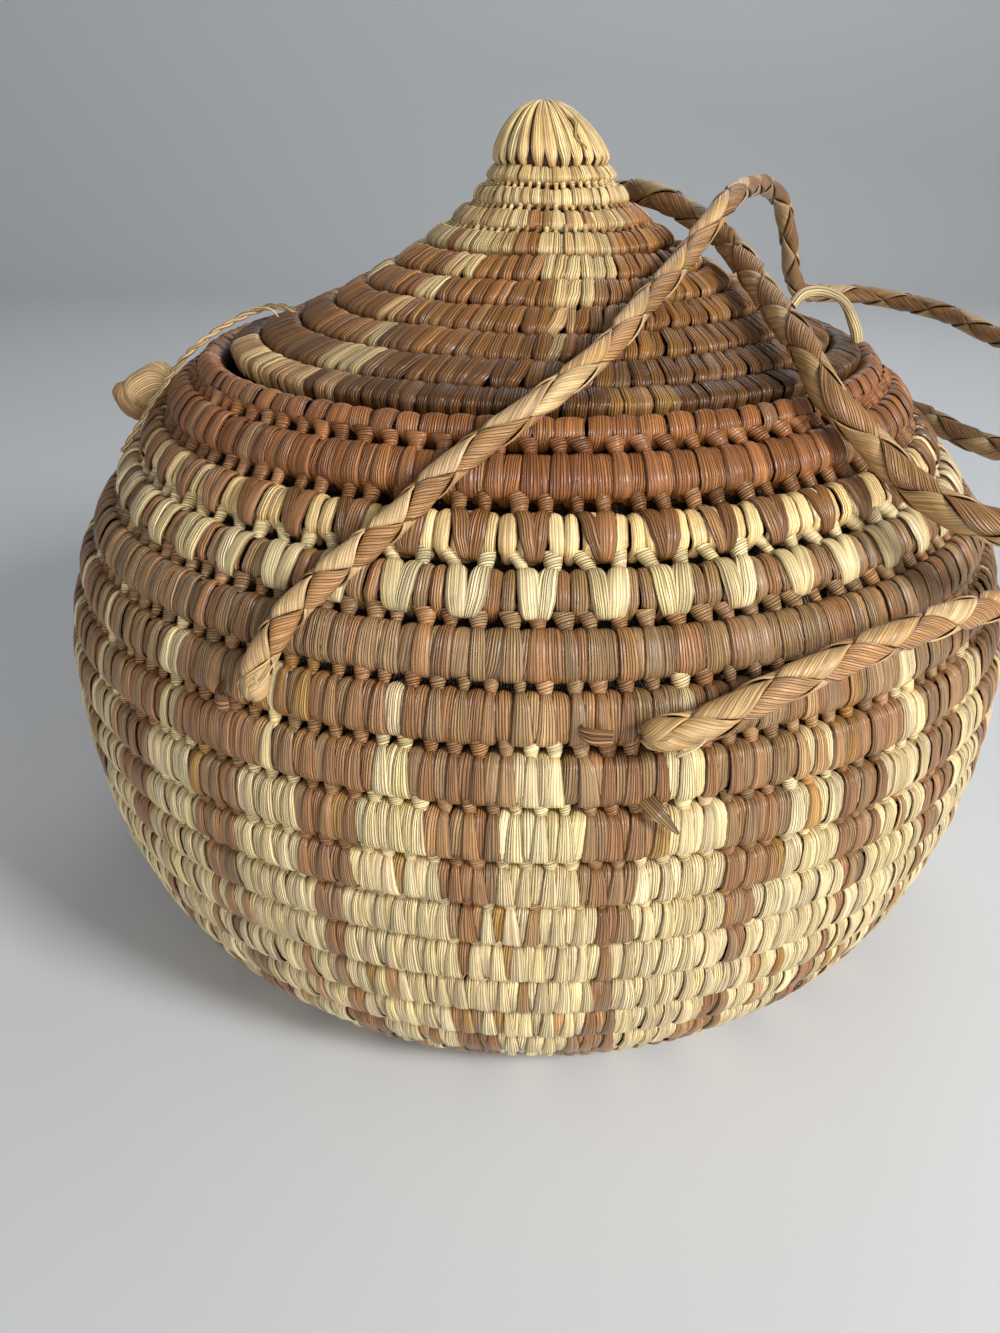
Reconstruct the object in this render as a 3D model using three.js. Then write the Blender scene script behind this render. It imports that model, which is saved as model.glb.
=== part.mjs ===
import * as THREE from 'three';

// A lidded coiled basket with two plaited cord handles.
// Millimetres, +Z up. The origin is the centre of the base, and -Y is the front.

// Clearances and facets
const SEAM_GAP = 0.3;
const FACETS = 32;
const CORD_SIDES = 8;

// The foundation coil of the basket
const COIL_HALF = 5.3;
const GROOVE_HALF = 2.3;
const MOUTH_HALF = 4.2;
const COIL_ROWS = 23;
const COIL_PITCH = 13.52;
const MOUTH_ROW_DROP = 4.3;
const BASE_ROWS = 8;
const SHOULDER_ROWS = 4;
const CREST_SHARE = 0.24;

// The wall's centre line, from the flat base over the belly to the mouth
const FLAT_RADIUS = 108;
const FOOT_PULL = 20;
const BELLY_RADIUS = 144.7;
const BELLY_HEIGHT = 88;
const BELLY_PULL_DOWN = 43;
const BELLY_PULL_UP = 20;
const SHOULDER_RADIUS = 128.1;
const SHOULDER_HEIGHT = 142.7;
const SHOULDER_PULL = 16;
const MOUTH_RADIUS = 99.4;
const MOUTH_HEIGHT = 177;

// The lid, which seats its rim coil on the inside of the mouth coil
const LID_ROWS = 10;
const LID_RIM_HALF = 4.3;
const LID_TOP_HALF = 2.8;
const LID_GROOVE_SHARE = 0.45;
const LID_FIRST_PITCH = 13.1;
const LID_LAST_PITCH = 7.4;
const LID_SEAT_ANGLE = THREE.MathUtils.degToRad(157);
const LID_RISE = 50;
const LID_TOP_RADIUS = 13.5;
const LID_RIM_PULL = new THREE.Vector2(-34.3, 10.4);
const LID_TOP_PULL = new THREE.Vector2(13.5, -17.4);

// The knob
const KNOB_TOP_RADIUS = 5.3;
const KNOB_HEIGHT = 13.8;
const KNOB_CROWN = 0.6;
const KNOB_PLUG_CLEARANCE = 0.4;
const KNOB_STEPS = 6;

// Plaited handles, tied to the wall at two places each
const HANDLE_CORD_RADIUS = 4.5;
const HANDLE_END_RADIUS = 5.4;
const HANDLE_STATION = 67.7;
const HANDLE_STAND_OFF = 0.5;
const HANDLE_LEFT_AZIMUTH = THREE.MathUtils.degToRad(-24.4);
const HANDLE_RIGHT_AZIMUTH = THREE.MathUtils.degToRad(9.2);
const HANDLE_STEPS = 44;
const HALF_TURN = Math.PI;

// Lashings that hold the handles' ends
const LASHING_RADIUS = 1.5;
const LASHING_REACH = 4.5;
const LASHING_CLEARANCE = 0.9;
const LASHING_TURN = THREE.MathUtils.degToRad(4.6);

// The lid's tie string, its toggle on the left of the wall, and the loop on the lid's right edge
const STRING_RADIUS = 1.1;
const STRING_STEPS = 26;
const TOGGLE_RADIUS = 5.2;
const TOGGLE_AZIMUTH = THREE.MathUtils.degToRad(-89);
const TOGGLE_TOP_STATION = 22.2;
const TOGGLE_FOOT_STATION = 31.5;
const TOGGLE_TILT = 2.4;
const LOOP_RADIUS = 1.3;
const LOOP_STEPS = 12;

const LEAF_BROWN = '#8a5a3b';
const LEAF_CREAM = '#d8c08f';
const LEAF_TAN = '#b98d5c';
const STRING_COLOUR = '#c9ad7d';

// The front handle's route over the shoulder and the lid, round the right side and back
const FRONT_ROUTE = [
  [-59.5, -135, 134.5], [-55.5, -132, 141.5], [-50, -129, 148], [-39, -126, 157],
  [-28.5, -121.5, 165], [-21, -116, 171.5], [-13.5, -112, 177], [-3, -107.5, 183.5],
  [8, -97, 189.5], [18, -81, 194.5], [25.5, -64.5, 200], [33, -50.5, 205],
  [40.5, -34.5, 210.5], [47, -23.5, 216.5], [52, -15, 221], [59, 6, 223.5],
  [69, 39, 223.5], [79.5, 70, 222], [88, 86, 216.5], [93, 94, 207.5],
  [97, 100.5, 197.5], [100.5, 107, 188], [106.5, 114.5, 181], [118, 122.5, 179.5],
  [132.5, 123, 179], [147, 115.5, 177.5], [162, 99, 175], [174.5, 78, 170],
  [193, 59, 168.5], [211, 37, 166], [223, 10, 162], [225, -20, 157],
  [216, -50, 151], [196, -75, 146], [168, -92, 142], [138, -101, 140],
  [113.5, -102.5, 138.5], [100.5, -111, 139.5], [83, -123, 139.5], [65.5, -132.5, 136.5],
  [49.5, -140.5, 132.5], [36.5, -145.5, 128],
];

// The back handle's route up the back, past the knob, over the lid's right flank and back
const BACK_ROUTE = [
  [-23, 147, 135.5], [-20, 141, 147], [-15.5, 131, 160], [-10, 120, 172],
  [-3, 108.5, 184], [4.5, 94.5, 195], [10.5, 78, 204.5], [16.5, 59, 213],
  [22.5, 41, 219.5], [30, 28, 222], [38.5, 17, 220.5], [45.5, 8.5, 217],
  [52.5, 1, 213], [56.5, -9.5, 209], [60, -28, 203.5], [63, -45.5, 198],
  [66.5, -67.5, 192], [70.5, -82.5, 183.5], [80, -88, 174.5], [88.5, -96, 166.5],
  [95.5, -105, 163], [106, -110, 160.5], [119, -111, 159], [133, -107.5, 158],
  [156, -95, 156], [176, -77, 152], [188, -53, 148], [192, -26, 144],
  [189, 0, 141], [180, 22, 139], [167, 37.5, 138], [155.5, 48, 140.5],
  [144.5, 65, 144], [130, 92, 143], [113, 109, 137], [92, 125, 131],
];

// The tie string's route from the lid's left edge down over the mouth to the wall
const STRING_ROUTE = [
  [-69, -26.5, 193.2], [-73, -25, 194], [-77.5, -23.5, 193.8], [-82, -23, 192.6],
  [-86.5, -25, 190.8], [-91, -28.5, 188.6], [-95, -31, 186], [-99.3, -32.4, 182.8],
  [-104.2, -32, 178.2], [-108.6, -30.8, 173.4], [-113.6, -29.2, 168], [-117.4, -29.6, 162.6],
  [-121.2, -30.6, 157.2], [-124.8, -31.6, 152.4],
];

// The loop on the lid's right: outward and upward from the middle of the lid's rim coil, and azimuth
const LOOP_ROUTE = [
  [-15.6, 14.1, 77.1], [-12.5, 17.2, 78.7], [-6.9, 17.5, 80.4], [-1, 15, 81],
  [3, 8.4, 80.4], [4.6, 3.8, 80.2],
];

const wallPath = makeWallPath();
const wallLength = wallPath.getLength();
const mouth = new THREE.Vector2(MOUTH_RADIUS, MOUTH_HEIGHT);
const lidPath = makeLidPath();
const lidLength = lidPath.getLength();

function makeWallPath() {
  const path = new THREE.Path();
  const shoulder = new THREE.Vector2(SHOULDER_RADIUS, SHOULDER_HEIGHT);
  const slope = new THREE.Vector2(MOUTH_RADIUS, MOUTH_HEIGHT).sub(shoulder).normalize();
  path.moveTo(0, COIL_HALF);
  path.lineTo(FLAT_RADIUS, COIL_HALF);
  path.bezierCurveTo(
    FLAT_RADIUS + FOOT_PULL, COIL_HALF,
    BELLY_RADIUS, BELLY_HEIGHT - BELLY_PULL_DOWN,
    BELLY_RADIUS, BELLY_HEIGHT,
  );
  path.bezierCurveTo(
    BELLY_RADIUS, BELLY_HEIGHT + BELLY_PULL_UP,
    shoulder.x - slope.x * SHOULDER_PULL, shoulder.y - slope.y * SHOULDER_PULL,
    shoulder.x, shoulder.y,
  );
  path.lineTo(MOUTH_RADIUS, MOUTH_HEIGHT);
  return path;
}

// The lid's rim coil rests on the mouth coil, so its place comes from both thicknesses
function makeLidPath() {
  const reach = MOUTH_HALF + LID_RIM_HALF + SEAM_GAP;
  const seat = new THREE.Vector2(
    MOUTH_RADIUS + Math.cos(LID_SEAT_ANGLE) * reach,
    MOUTH_HEIGHT + Math.sin(LID_SEAT_ANGLE) * reach,
  );
  const top = new THREE.Vector2(LID_TOP_RADIUS, seat.y + LID_RISE);
  const path = new THREE.Path();
  path.moveTo(seat.x, seat.y);
  path.bezierCurveTo(
    seat.x + LID_RIM_PULL.x, seat.y + LID_RIM_PULL.y,
    top.x + LID_TOP_PULL.x, top.y + LID_TOP_PULL.y,
    top.x, top.y,
  );
  return path;
}

// A point at a length along a path, moved off it by a distance; positive is outward and up
function offPath(path, length, distance) {
  const total = path.getLength();
  const share = THREE.MathUtils.clamp(length / total, 0, 1);
  const point = path.getPointAt(share);
  const along = path.getTangentAt(share);
  const overrun = length - share * total;
  const outward = new THREE.Vector2(along.y, -along.x);
  return point.addScaledVector(along, overrun).addScaledVector(outward, distance);
}

// The rounded free edge of a coil, from one face of the wall to the other
function roundedEdge(path, length, half, direction) {
  const points = [];
  for (const degrees of [90, 45, 0, -45, -90]) {
    const angle = THREE.MathUtils.degToRad(degrees);
    const reach = length + direction * half * Math.cos(angle);
    points.push(offPath(path, reach, half * Math.sin(angle)));
  }
  return points;
}

// One face of a run of coil rows: a groove at each seam and a flat crest on each row
function ribbedFace(path, edges, halfAt, grooveAt, side, crestShares) {
  const points = [];
  for (let row = 0; row < edges.length - 1; row += 1) {
    const from = edges[row];
    const to = edges[row + 1];
    const width = to - from;
    if (row > 0) {
      points.push(offPath(path, from, side * grooveAt(from)));
    }
    for (const share of crestShares) {
      const length = from + width * (0.5 + share);
      points.push(offPath(path, length, side * halfAt(length)));
    }
  }
  return points;
}

function revolve(points) {
  const closed = [...points];
  const first = points[0];
  const last = points[points.length - 1];
  const onAxis = first.x < 1e-6 && last.x < 1e-6;
  if (!onAxis) {
    closed.push(first.clone());
  }
  const geometry = new THREE.LatheGeometry(closed, FACETS);
  geometry.rotateX(Math.PI / 2);
  return geometry;
}

// Where rows meet, from the middle of the base; the middle row takes what the even rows leave
function wallEdges(first, last) {
  const edges = [];
  for (let row = first; row <= last; row += 1) {
    const belowMouth = MOUTH_ROW_DROP + (COIL_ROWS - 1 - row) * COIL_PITCH;
    edges.push(row === 0 ? 0 : wallLength - belowMouth);
  }
  return edges;
}

// A run of the basket's coil between two of its rows, open on the axis side unless it starts there
function basketRun(firstRow, endRow) {
  const edges = wallEdges(firstRow, endRow);
  const half = () => COIL_HALF;
  const groove = () => GROOVE_HALF;
  const outer = ribbedFace(wallPath, edges, half, groove, 1, [-CREST_SHARE, CREST_SHARE]);
  const inner = ribbedFace(wallPath, edges, half, groove, -1, [0]);
  const start = edges[0] + (firstRow === 0 ? 0 : SEAM_GAP / 2);
  const points = [];
  if (firstRow === 0) {
    points.push(offPath(wallPath, 0, COIL_HALF));
  } else {
    points.push(offPath(wallPath, start, GROOVE_HALF));
  }
  if (endRow === COIL_ROWS) {
    points.push(...roundedEdge(wallPath, wallLength, MOUTH_HALF, 1));
    points.push(offPath(wallPath, start, -GROOVE_HALF));
    return revolve(points);
  }
  const end = edges[edges.length - 1] - SEAM_GAP / 2;
  points.push(...outer);
  points.push(offPath(wallPath, end, GROOVE_HALF));
  points.push(offPath(wallPath, end, -GROOVE_HALF));
  points.push(...inner.reverse());
  if (firstRow === 0) {
    points.push(offPath(wallPath, 0, -COIL_HALF));
  } else {
    points.push(offPath(wallPath, start, -GROOVE_HALF));
  }
  return revolve(points);
}

function lidHalf(length) {
  return THREE.MathUtils.lerp(LID_RIM_HALF, LID_TOP_HALF, THREE.MathUtils.clamp(length / lidLength, 0, 1));
}

function lidGroove(length) {
  return lidHalf(length) * LID_GROOVE_SHARE;
}

// Row edges on the lid, whose pitch falls evenly from the rim to the knob
function lidEdges() {
  const pitches = [];
  for (let row = 0; row < LID_ROWS; row += 1) {
    pitches.push(THREE.MathUtils.lerp(LID_FIRST_PITCH, LID_LAST_PITCH, row / (LID_ROWS - 1)));
  }
  const run = pitches.reduce((sum, pitch) => sum + pitch, 0) - pitches[0] / 2;
  const scale = lidLength / run;
  const edges = [-pitches[0] * scale / 2];
  for (const pitch of pitches) {
    edges.push(edges[edges.length - 1] + pitch * scale);
  }
  return edges;
}

function lidRimGeometry() {
  const end = lidEdges()[1] - SEAM_GAP / 2;
  const crest = end - LID_FIRST_PITCH * (0.5 - CREST_SHARE);
  const points = roundedEdge(lidPath, 0, LID_RIM_HALF, -1).reverse();
  points.push(offPath(lidPath, crest, LID_RIM_HALF));
  points.push(offPath(lidPath, end, lidGroove(end)));
  points.push(offPath(lidPath, end, -lidGroove(end)));
  points.push(offPath(lidPath, crest, -LID_RIM_HALF));
  return revolve(points);
}

function lidConeGeometry() {
  const edges = lidEdges().slice(1);
  const start = edges[0] + SEAM_GAP / 2;
  const end = edges[edges.length - 1];
  const crests = [-CREST_SHARE, CREST_SHARE];
  const points = [offPath(lidPath, start, lidGroove(start))];
  points.push(...ribbedFace(lidPath, edges, lidHalf, lidGroove, 1, crests));
  points.push(offPath(lidPath, end, lidHalf(end)));
  points.push(offPath(lidPath, end, -lidHalf(end)));
  points.push(...ribbedFace(lidPath, edges, lidHalf, lidGroove, -1, [0]).reverse());
  points.push(offPath(lidPath, start, -lidGroove(start)));
  return revolve(points);
}

// The knob plugs the hole in the lid's last row, carries on its slope and ends in a small flat crown
function knobGeometry() {
  const innerCorner = offPath(lidPath, lidLength + SEAM_GAP, -LID_TOP_HALF);
  const outerCorner = offPath(lidPath, lidLength + SEAM_GAP, LID_TOP_HALF);
  const plugRadius = innerCorner.x - KNOB_PLUG_CLEARANCE;
  const points = [
    new THREE.Vector2(0, innerCorner.y),
    new THREE.Vector2(plugRadius, innerCorner.y),
    new THREE.Vector2(outerCorner.x, outerCorner.y),
  ];
  for (let step = 1; step <= KNOB_STEPS; step += 1) {
    const share = step / KNOB_STEPS;
    const swell = Math.pow(1 - Math.pow(share, 1.54), 0.78);
    const radius = THREE.MathUtils.lerp(KNOB_TOP_RADIUS, outerCorner.x, swell);
    points.push(new THREE.Vector2(radius, outerCorner.y + KNOB_HEIGHT * share));
  }
  points.push(new THREE.Vector2(0, outerCorner.y + KNOB_HEIGHT + KNOB_CROWN));
  return revolve(points);
}

// A point off the wall at an azimuth from the front, counted towards the right
function offWall(belowMouth, distance, azimuth) {
  const point = offPath(wallPath, wallLength - belowMouth, distance);
  return new THREE.Vector3(point.x * Math.sin(azimuth), -point.x * Math.cos(azimuth), point.y);
}

function tube(points, radius, steps, tension = 0.5) {
  const section = new THREE.Shape();
  for (let side = 0; side < CORD_SIDES; side += 1) {
    const angle = (side + 0.5) * 2 * Math.PI / CORD_SIDES;
    const x = radius * Math.cos(angle);
    const y = radius * Math.sin(angle);
    if (side === 0) {
      section.moveTo(x, y);
    } else {
      section.lineTo(x, y);
    }
  }
  section.closePath();
  const path = new THREE.CatmullRomCurve3(points, false, 'centripetal', tension);
  return new THREE.ExtrudeGeometry(section, { steps, extrudePath: path, bevelEnabled: false });
}

function addMesh(parent, name, geometry, colour) {
  const material = new THREE.MeshStandardMaterial({ color: colour, roughness: 0.75, metalness: 0 });
  const mesh = new THREE.Mesh(geometry, material);
  mesh.name = name;
  parent.add(mesh);
  return mesh;
}

function routePoints(route) {
  return route.map((place) => new THREE.Vector3(...place));
}

function loopPoints() {
  const rim = lidPath.getPointAt(0);
  return LOOP_ROUTE.map(([outward, upward, degrees]) => {
    const azimuth = THREE.MathUtils.degToRad(degrees);
    const radius = rim.x + outward;
    return new THREE.Vector3(radius * Math.sin(azimuth), -radius * Math.cos(azimuth), rim.y + upward);
  });
}

// A handle's end stands just clear of the wall, and its cord starts at the end's surface
function endPlace(azimuth) {
  const distance = COIL_HALF + HANDLE_STAND_OFF + HANDLE_END_RADIUS;
  return offWall(HANDLE_STATION, distance, azimuth);
}

function leaveEnd(centre, next) {
  const away = next.clone().sub(centre).normalize();
  return centre.clone().addScaledVector(away, HANDLE_END_RADIUS + SEAM_GAP);
}

function addHandle(parent, name, places, route) {
  const points = routePoints(route);
  const whole = [
    leaveEnd(places.left, points[0]),
    ...points,
    leaveEnd(places.right, points[points.length - 1]),
  ];
  addMesh(parent, `${name}_cord`, tube(whole, HANDLE_CORD_RADIUS, HANDLE_STEPS), LEAF_TAN);
  for (const side of ['left', 'right']) {
    const ball = new THREE.SphereGeometry(HANDLE_END_RADIUS, 10, 7);
    const end = addMesh(parent, `${name}_end_${side}`, ball, LEAF_TAN);
    end.position.copy(places[side]);
  }
}

// A lashing leaves the handle's end along the swing axis and turns in to the wall
function addLashing(parent, name, place, azimuth, away) {
  const start = place.clone().addScaledVector(away, HANDLE_END_RADIUS + SEAM_GAP);
  const bend = start.clone().addScaledVector(away, LASHING_REACH);
  const turn = Math.sign(away.x * Math.cos(azimuth) + away.y * Math.sin(azimuth)) * LASHING_TURN;
  const foot = offWall(HANDLE_STATION, COIL_HALF + LASHING_CLEARANCE, azimuth + turn);
  const curve = new THREE.QuadraticBezierCurve3(start, bend, foot);
  addMesh(parent, name, tube(curve.getPoints(6), LASHING_RADIUS, 6), LEAF_BROWN);
}

function addHandleSet(basket, name, turn, route) {
  const azimuths = { left: HANDLE_LEFT_AZIMUTH + turn, right: HANDLE_RIGHT_AZIMUTH + turn };
  if (turn !== 0) {
    azimuths.left = HANDLE_RIGHT_AZIMUTH + turn;
    azimuths.right = HANDLE_LEFT_AZIMUTH + turn;
  }
  const places = { left: endPlace(azimuths.left), right: endPlace(azimuths.right) };
  addHandle(basket, name, places, route);
  const away = places.left.clone().sub(places.right).normalize();
  for (const side of ['left', 'right']) {
    addLashing(basket, `${name}_lashing_${side}`, places[side], azimuths[side], away);
  }
}

// The toggle is a folded stub of plait that leans out from the wall's left side
function addToggle(parent) {
  const off = COIL_HALF + SEAM_GAP + TOGGLE_RADIUS;
  const top = offWall(TOGGLE_TOP_STATION, off, TOGGLE_AZIMUTH);
  const foot = offWall(TOGGLE_FOOT_STATION, off + TOGGLE_TILT, TOGGLE_AZIMUTH);
  const axis = foot.clone().sub(top);
  const capsule = new THREE.CapsuleGeometry(TOGGLE_RADIUS, axis.length(), 3, 10);
  const toggle = addMesh(parent, 'tie_toggle', capsule, LEAF_CREAM);
  toggle.position.copy(top).add(foot).multiplyScalar(0.5);
  toggle.quaternion.setFromUnitVectors(new THREE.Vector3(0, 1, 0), axis.normalize());
}

function addBasket(parent) {
  const rimRow = COIL_ROWS - 1;
  const shoulderRow = rimRow - SHOULDER_ROWS;
  addMesh(parent, 'base_coil', basketRun(0, BASE_ROWS), LEAF_CREAM);
  addMesh(parent, 'wall_coil', basketRun(BASE_ROWS, shoulderRow), LEAF_CREAM);
  addMesh(parent, 'shoulder_coil', basketRun(shoulderRow, rimRow), LEAF_BROWN);
  addMesh(parent, 'mouth_rim_coil', basketRun(rimRow, COIL_ROWS), LEAF_BROWN);
}

function addLid(parent) {
  addMesh(parent, 'lid_rim_coil', lidRimGeometry(), LEAF_BROWN);
  addMesh(parent, 'lid_cone_coil', lidConeGeometry(), LEAF_BROWN);
  addMesh(parent, 'lid_knob', knobGeometry(), LEAF_CREAM);
  addMesh(parent, 'lid_loop', tube(loopPoints(), LOOP_RADIUS, LOOP_STEPS), LEAF_CREAM);
}

function build() {
  const group = new THREE.Group();
  addBasket(group);
  addLid(group);
  addHandleSet(group, 'front_handle', 0, FRONT_ROUTE);
  addHandleSet(group, 'back_handle', HALF_TURN, BACK_ROUTE);
  addToggle(group);
  const string = tube(routePoints(STRING_ROUTE), STRING_RADIUS, STRING_STEPS);
  addMesh(group, 'lid_tie_string', string, STRING_COLOUR);
  return group;
}

const basket = build();

export default basket;
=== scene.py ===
"""Dressed model of a lidded coiled palm-leaf basket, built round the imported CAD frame.

The basket is sewn from a coil that is wrapped in split palm leaf. Each row of the coil is one piece here,
with its wraps, the long stitches that the row above lays over it, and the small bound knots that hold the
two apart.
"""

from __future__ import annotations

import logging
import math
from collections.abc import Callable
from dataclasses import dataclass, field, replace
from enum import Enum

import bpy
import numpy as np
from mathutils import Matrix, Vector

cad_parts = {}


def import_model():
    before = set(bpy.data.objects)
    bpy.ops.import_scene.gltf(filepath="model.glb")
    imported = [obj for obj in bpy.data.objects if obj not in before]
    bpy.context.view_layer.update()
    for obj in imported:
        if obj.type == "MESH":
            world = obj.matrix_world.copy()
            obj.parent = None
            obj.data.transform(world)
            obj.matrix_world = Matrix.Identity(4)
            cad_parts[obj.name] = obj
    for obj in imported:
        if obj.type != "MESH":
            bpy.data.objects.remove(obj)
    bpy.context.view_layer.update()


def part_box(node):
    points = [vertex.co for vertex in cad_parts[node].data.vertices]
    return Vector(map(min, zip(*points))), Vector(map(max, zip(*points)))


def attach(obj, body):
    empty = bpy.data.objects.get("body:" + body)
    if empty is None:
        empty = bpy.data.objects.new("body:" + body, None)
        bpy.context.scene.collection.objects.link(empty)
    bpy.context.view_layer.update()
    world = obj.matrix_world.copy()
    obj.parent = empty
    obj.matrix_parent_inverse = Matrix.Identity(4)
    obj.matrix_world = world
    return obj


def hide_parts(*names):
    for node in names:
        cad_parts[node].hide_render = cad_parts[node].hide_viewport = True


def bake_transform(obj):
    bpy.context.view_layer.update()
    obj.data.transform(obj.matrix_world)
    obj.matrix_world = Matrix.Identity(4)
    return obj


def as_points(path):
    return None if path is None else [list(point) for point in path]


LOG = logging.getLogger("basket")
MM = 0.001
TURN = 2 * math.pi
UP = (0.0, 0.0, 1.0)

# A rule that gives strips at some azimuths in degrees their linear tones
ToneRule = Callable[[np.ndarray, np.random.Generator], np.ndarray]
# Pairs of a place along a piece and a value there
Table = tuple[tuple[float, float], ...]

# The wall's centre line in millimetres of radius and height, as in the solids
FLAT_RADIUS = 108.0
FOOT_PULL = 20.0
BELLY_RADIUS = 144.7
BELLY_HEIGHT = 88.0
BELLY_PULL_DOWN = 43.0
BELLY_PULL_UP = 20.0
SHOULDER = (128.1, 142.7)
SHOULDER_PULL = 16.0
MOUTH = (99.4, 177.0)
COIL_HALF = 5.3
COIL_PITCH = 13.52
COIL_ROWS = 23
MOUTH_ROW_DROP = 4.3
MOUTH_HALF = 4.2
NARROW_ROWS = ((9, 1.6), (10, 1.3))

# The lid's centre line, seated inside the mouth coil, and how it has slid and leant on its seat
LID_ROWS = 10
LID_RIM_HALF = 4.3
LID_TOP_HALF = 2.8
LID_FIRST_PITCH = 13.1
LID_LAST_PITCH = 7.4
LID_SEAT_ANGLE = 157.0
LID_RISE = 50.0
LID_TOP_RADIUS = 13.5
LID_RIM_PULL = (-34.3, 10.4)
LID_TOP_PULL = (13.5, -17.4)
SEAM_GAP = 0.3
LID_SLIP_BACK = 0.9
# Height, sideways shift and share of the upright lid's radius: it leans a little and narrows unevenly
LID_LEAN = (
    (181.0, 1.7, 1.0), (190.0, 2.4, 1.0), (204.0, 3.0, 1.0), (212.0, 3.3, 0.97), (217.0, 3.7, 0.965),
    (222.5, 3.4, 0.95), (228.0, 3.3, 1.02), (233.0, 3.0, 1.0), (247.0, 0.8, 1.0),
)

# Palm leaf's own sizes: the distance between its veins, and the leaf that every strip is split from
RIB_PITCH = 0.68
LEAF_BREADTH = 30.0
LEAF_LENGTH = 300.0
# Strips are told apart by whole numbers below this one
STRIP_NUMBERS = 50

# The cords' routes, the same as in the solids
FRONT_ROUTE = (
    (-61.7, -136.1, 126.2), (-59.5, -135, 134.5), (-55.5, -132, 141.5), (-50, -129, 148),
    (-39, -126, 157), (-28.5, -121.5, 165), (-21, -116, 171.5), (-13.5, -112, 177),
    (-3, -107.5, 183.5), (8, -97, 189.5), (18, -81, 194.5), (25.5, -64.5, 200),
    (33, -50.5, 205), (40.5, -34.5, 210.5), (47, -23.5, 216.5), (52, -15, 221),
    (59, 6, 223.5), (69, 39, 223.5), (79.5, 70, 222), (88, 86, 216.5),
    (93, 94, 207.5), (97, 100.5, 197.5), (100.5, 107, 188), (106.5, 114.5, 181),
    (118, 122.5, 179.5), (132.5, 123, 179), (147, 115.5, 177.5), (162, 99, 175),
    (174.5, 78, 170), (193, 59, 168.5), (211, 37, 166), (223, 10, 162),
    (225, -20, 157), (216, -50, 151), (196, -75, 146), (168, -92, 142),
    (138, -101, 140), (113.5, -102.5, 138.5), (100.5, -111, 139.5), (83, -123, 139.5),
    (65.5, -132.5, 136.5), (49.5, -140.5, 132.5), (36.5, -145.5, 128), (23.9, -147.5, 126.2),
)

BACK_ROUTE = (
    (-23.9, 147.5, 126.2), (-23, 147, 135.5), (-20, 141, 147), (-15.5, 131, 160),
    (-10, 120, 172), (-3, 108.5, 184), (4.5, 94.5, 195), (10.5, 78, 204.5),
    (16.5, 59, 213), (22.5, 41, 219.5), (30, 28, 222), (38.5, 17, 220.5),
    (45.5, 8.5, 217), (52.5, 1, 213), (56.5, -9.5, 209), (60, -28, 203.5),
    (63, -45.5, 198), (66.5, -67.5, 192), (70.5, -82.5, 183.5), (80, -88, 174.5),
    (88.5, -96, 166.5), (95.5, -105, 163), (106, -110, 160.5), (119, -111, 159),
    (133, -107.5, 158), (156, -95, 156), (176, -77, 152), (188, -53, 148),
    (192, -26, 144), (189, 0, 141), (180, 22, 139), (167, 37.5, 138),
    (155.5, 48, 140.5), (144.5, 65, 144), (130, 92, 143), (113, 109, 137),
    (92, 125, 131), (61.7, 136.1, 126.2),
)

STRING_ROUTE = (
    (-69, -26.5, 193.2), (-73, -25, 194), (-77.5, -23.5, 193.8), (-82, -23, 192.6),
    (-86.5, -25, 190.8), (-91, -28.5, 188.6), (-95, -31, 186), (-99.3, -32.4, 182.8),
    (-104.2, -32, 178.2), (-108.6, -30.8, 173.4), (-113.6, -29.2, 168), (-117.4, -29.6, 162.6),
    (-121.2, -30.6, 157.2), (-124.8, -31.6, 152.4),
)

# Outward and upward from the middle of the lid's rim coil, and azimuth from the front in degrees
LOOP_ROUTE = (
    (-15.6, 14.1, 77.1), (-12.5, 17.2, 78.7), (-6.9, 17.5, 80.4), (-1, 15, 81),
    (3, 8.4, 80.4), (4.6, 3.8, 80.2),
)


def linear(hex_colour: str) -> tuple[float, float, float]:
    """Turns an sRGB hex colour into linear light.

    Args:
        hex_colour: Six hex digits after a hash.

    Returns:
        Red, green and blue in linear light.
    """
    channels = [int(hex_colour[i:i + 2], 16) / 255 for i in (1, 3, 5)]
    return tuple(c / 12.92 if c <= 0.04045 else ((c + 0.055) / 1.055) ** 2.4 for c in channels)


class Leaf(Enum):
    """The dye lots and ages of palm leaf that the basket is sewn from."""

    CREAM = ("#e5cc99", "#ead6a4", "#dcc491", "#dfc698", "#e6ce92")
    STRAW = ("#e9ca8e", "#e0be80", "#eed298", "#dab67a", "#ebcd92")
    BROWN = ("#a5764b", "#9d6e44", "#ad7e52", "#9b714c", "#af8253")
    RUSSET = ("#9b6134", "#935c30", "#a3693b", "#905a33", "#a86f40")
    UMBER = ("#86592f", "#91633a", "#7e5530", "#9a6b40", "#8a5f38")
    SMOKED = ("#9b6733", "#915e2f", "#a5713c", "#8e6034", "#a9763c")
    TAUPE = ("#a07e57", "#98764f", "#a9875e", "#9a7853", "#9f7c50")
    HONEY = ("#b08243", "#a5753b", "#b88b4a", "#a77945", "#bb9150")
    TAN = ("#c39663", "#ba8d5b", "#cca170", "#b88d5c", "#c89f6b")
    PLAIT = ("#d1ac78", "#c9a26c", "#d8b583", "#c39a62", "#d4af7e")
    RIBBED = ("#b48454", "#aa7b4a", "#bd8f5f", "#a87a4c", "#ba8a59")
    STRING = ("#cfb283", "#c4a673", "#d8be90", "#bd9a64", "#d4b787")

    def tones(self) -> np.ndarray:
        """The tones in linear light, one row each."""
        return np.array([linear(tone) for tone in self.value])


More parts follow.
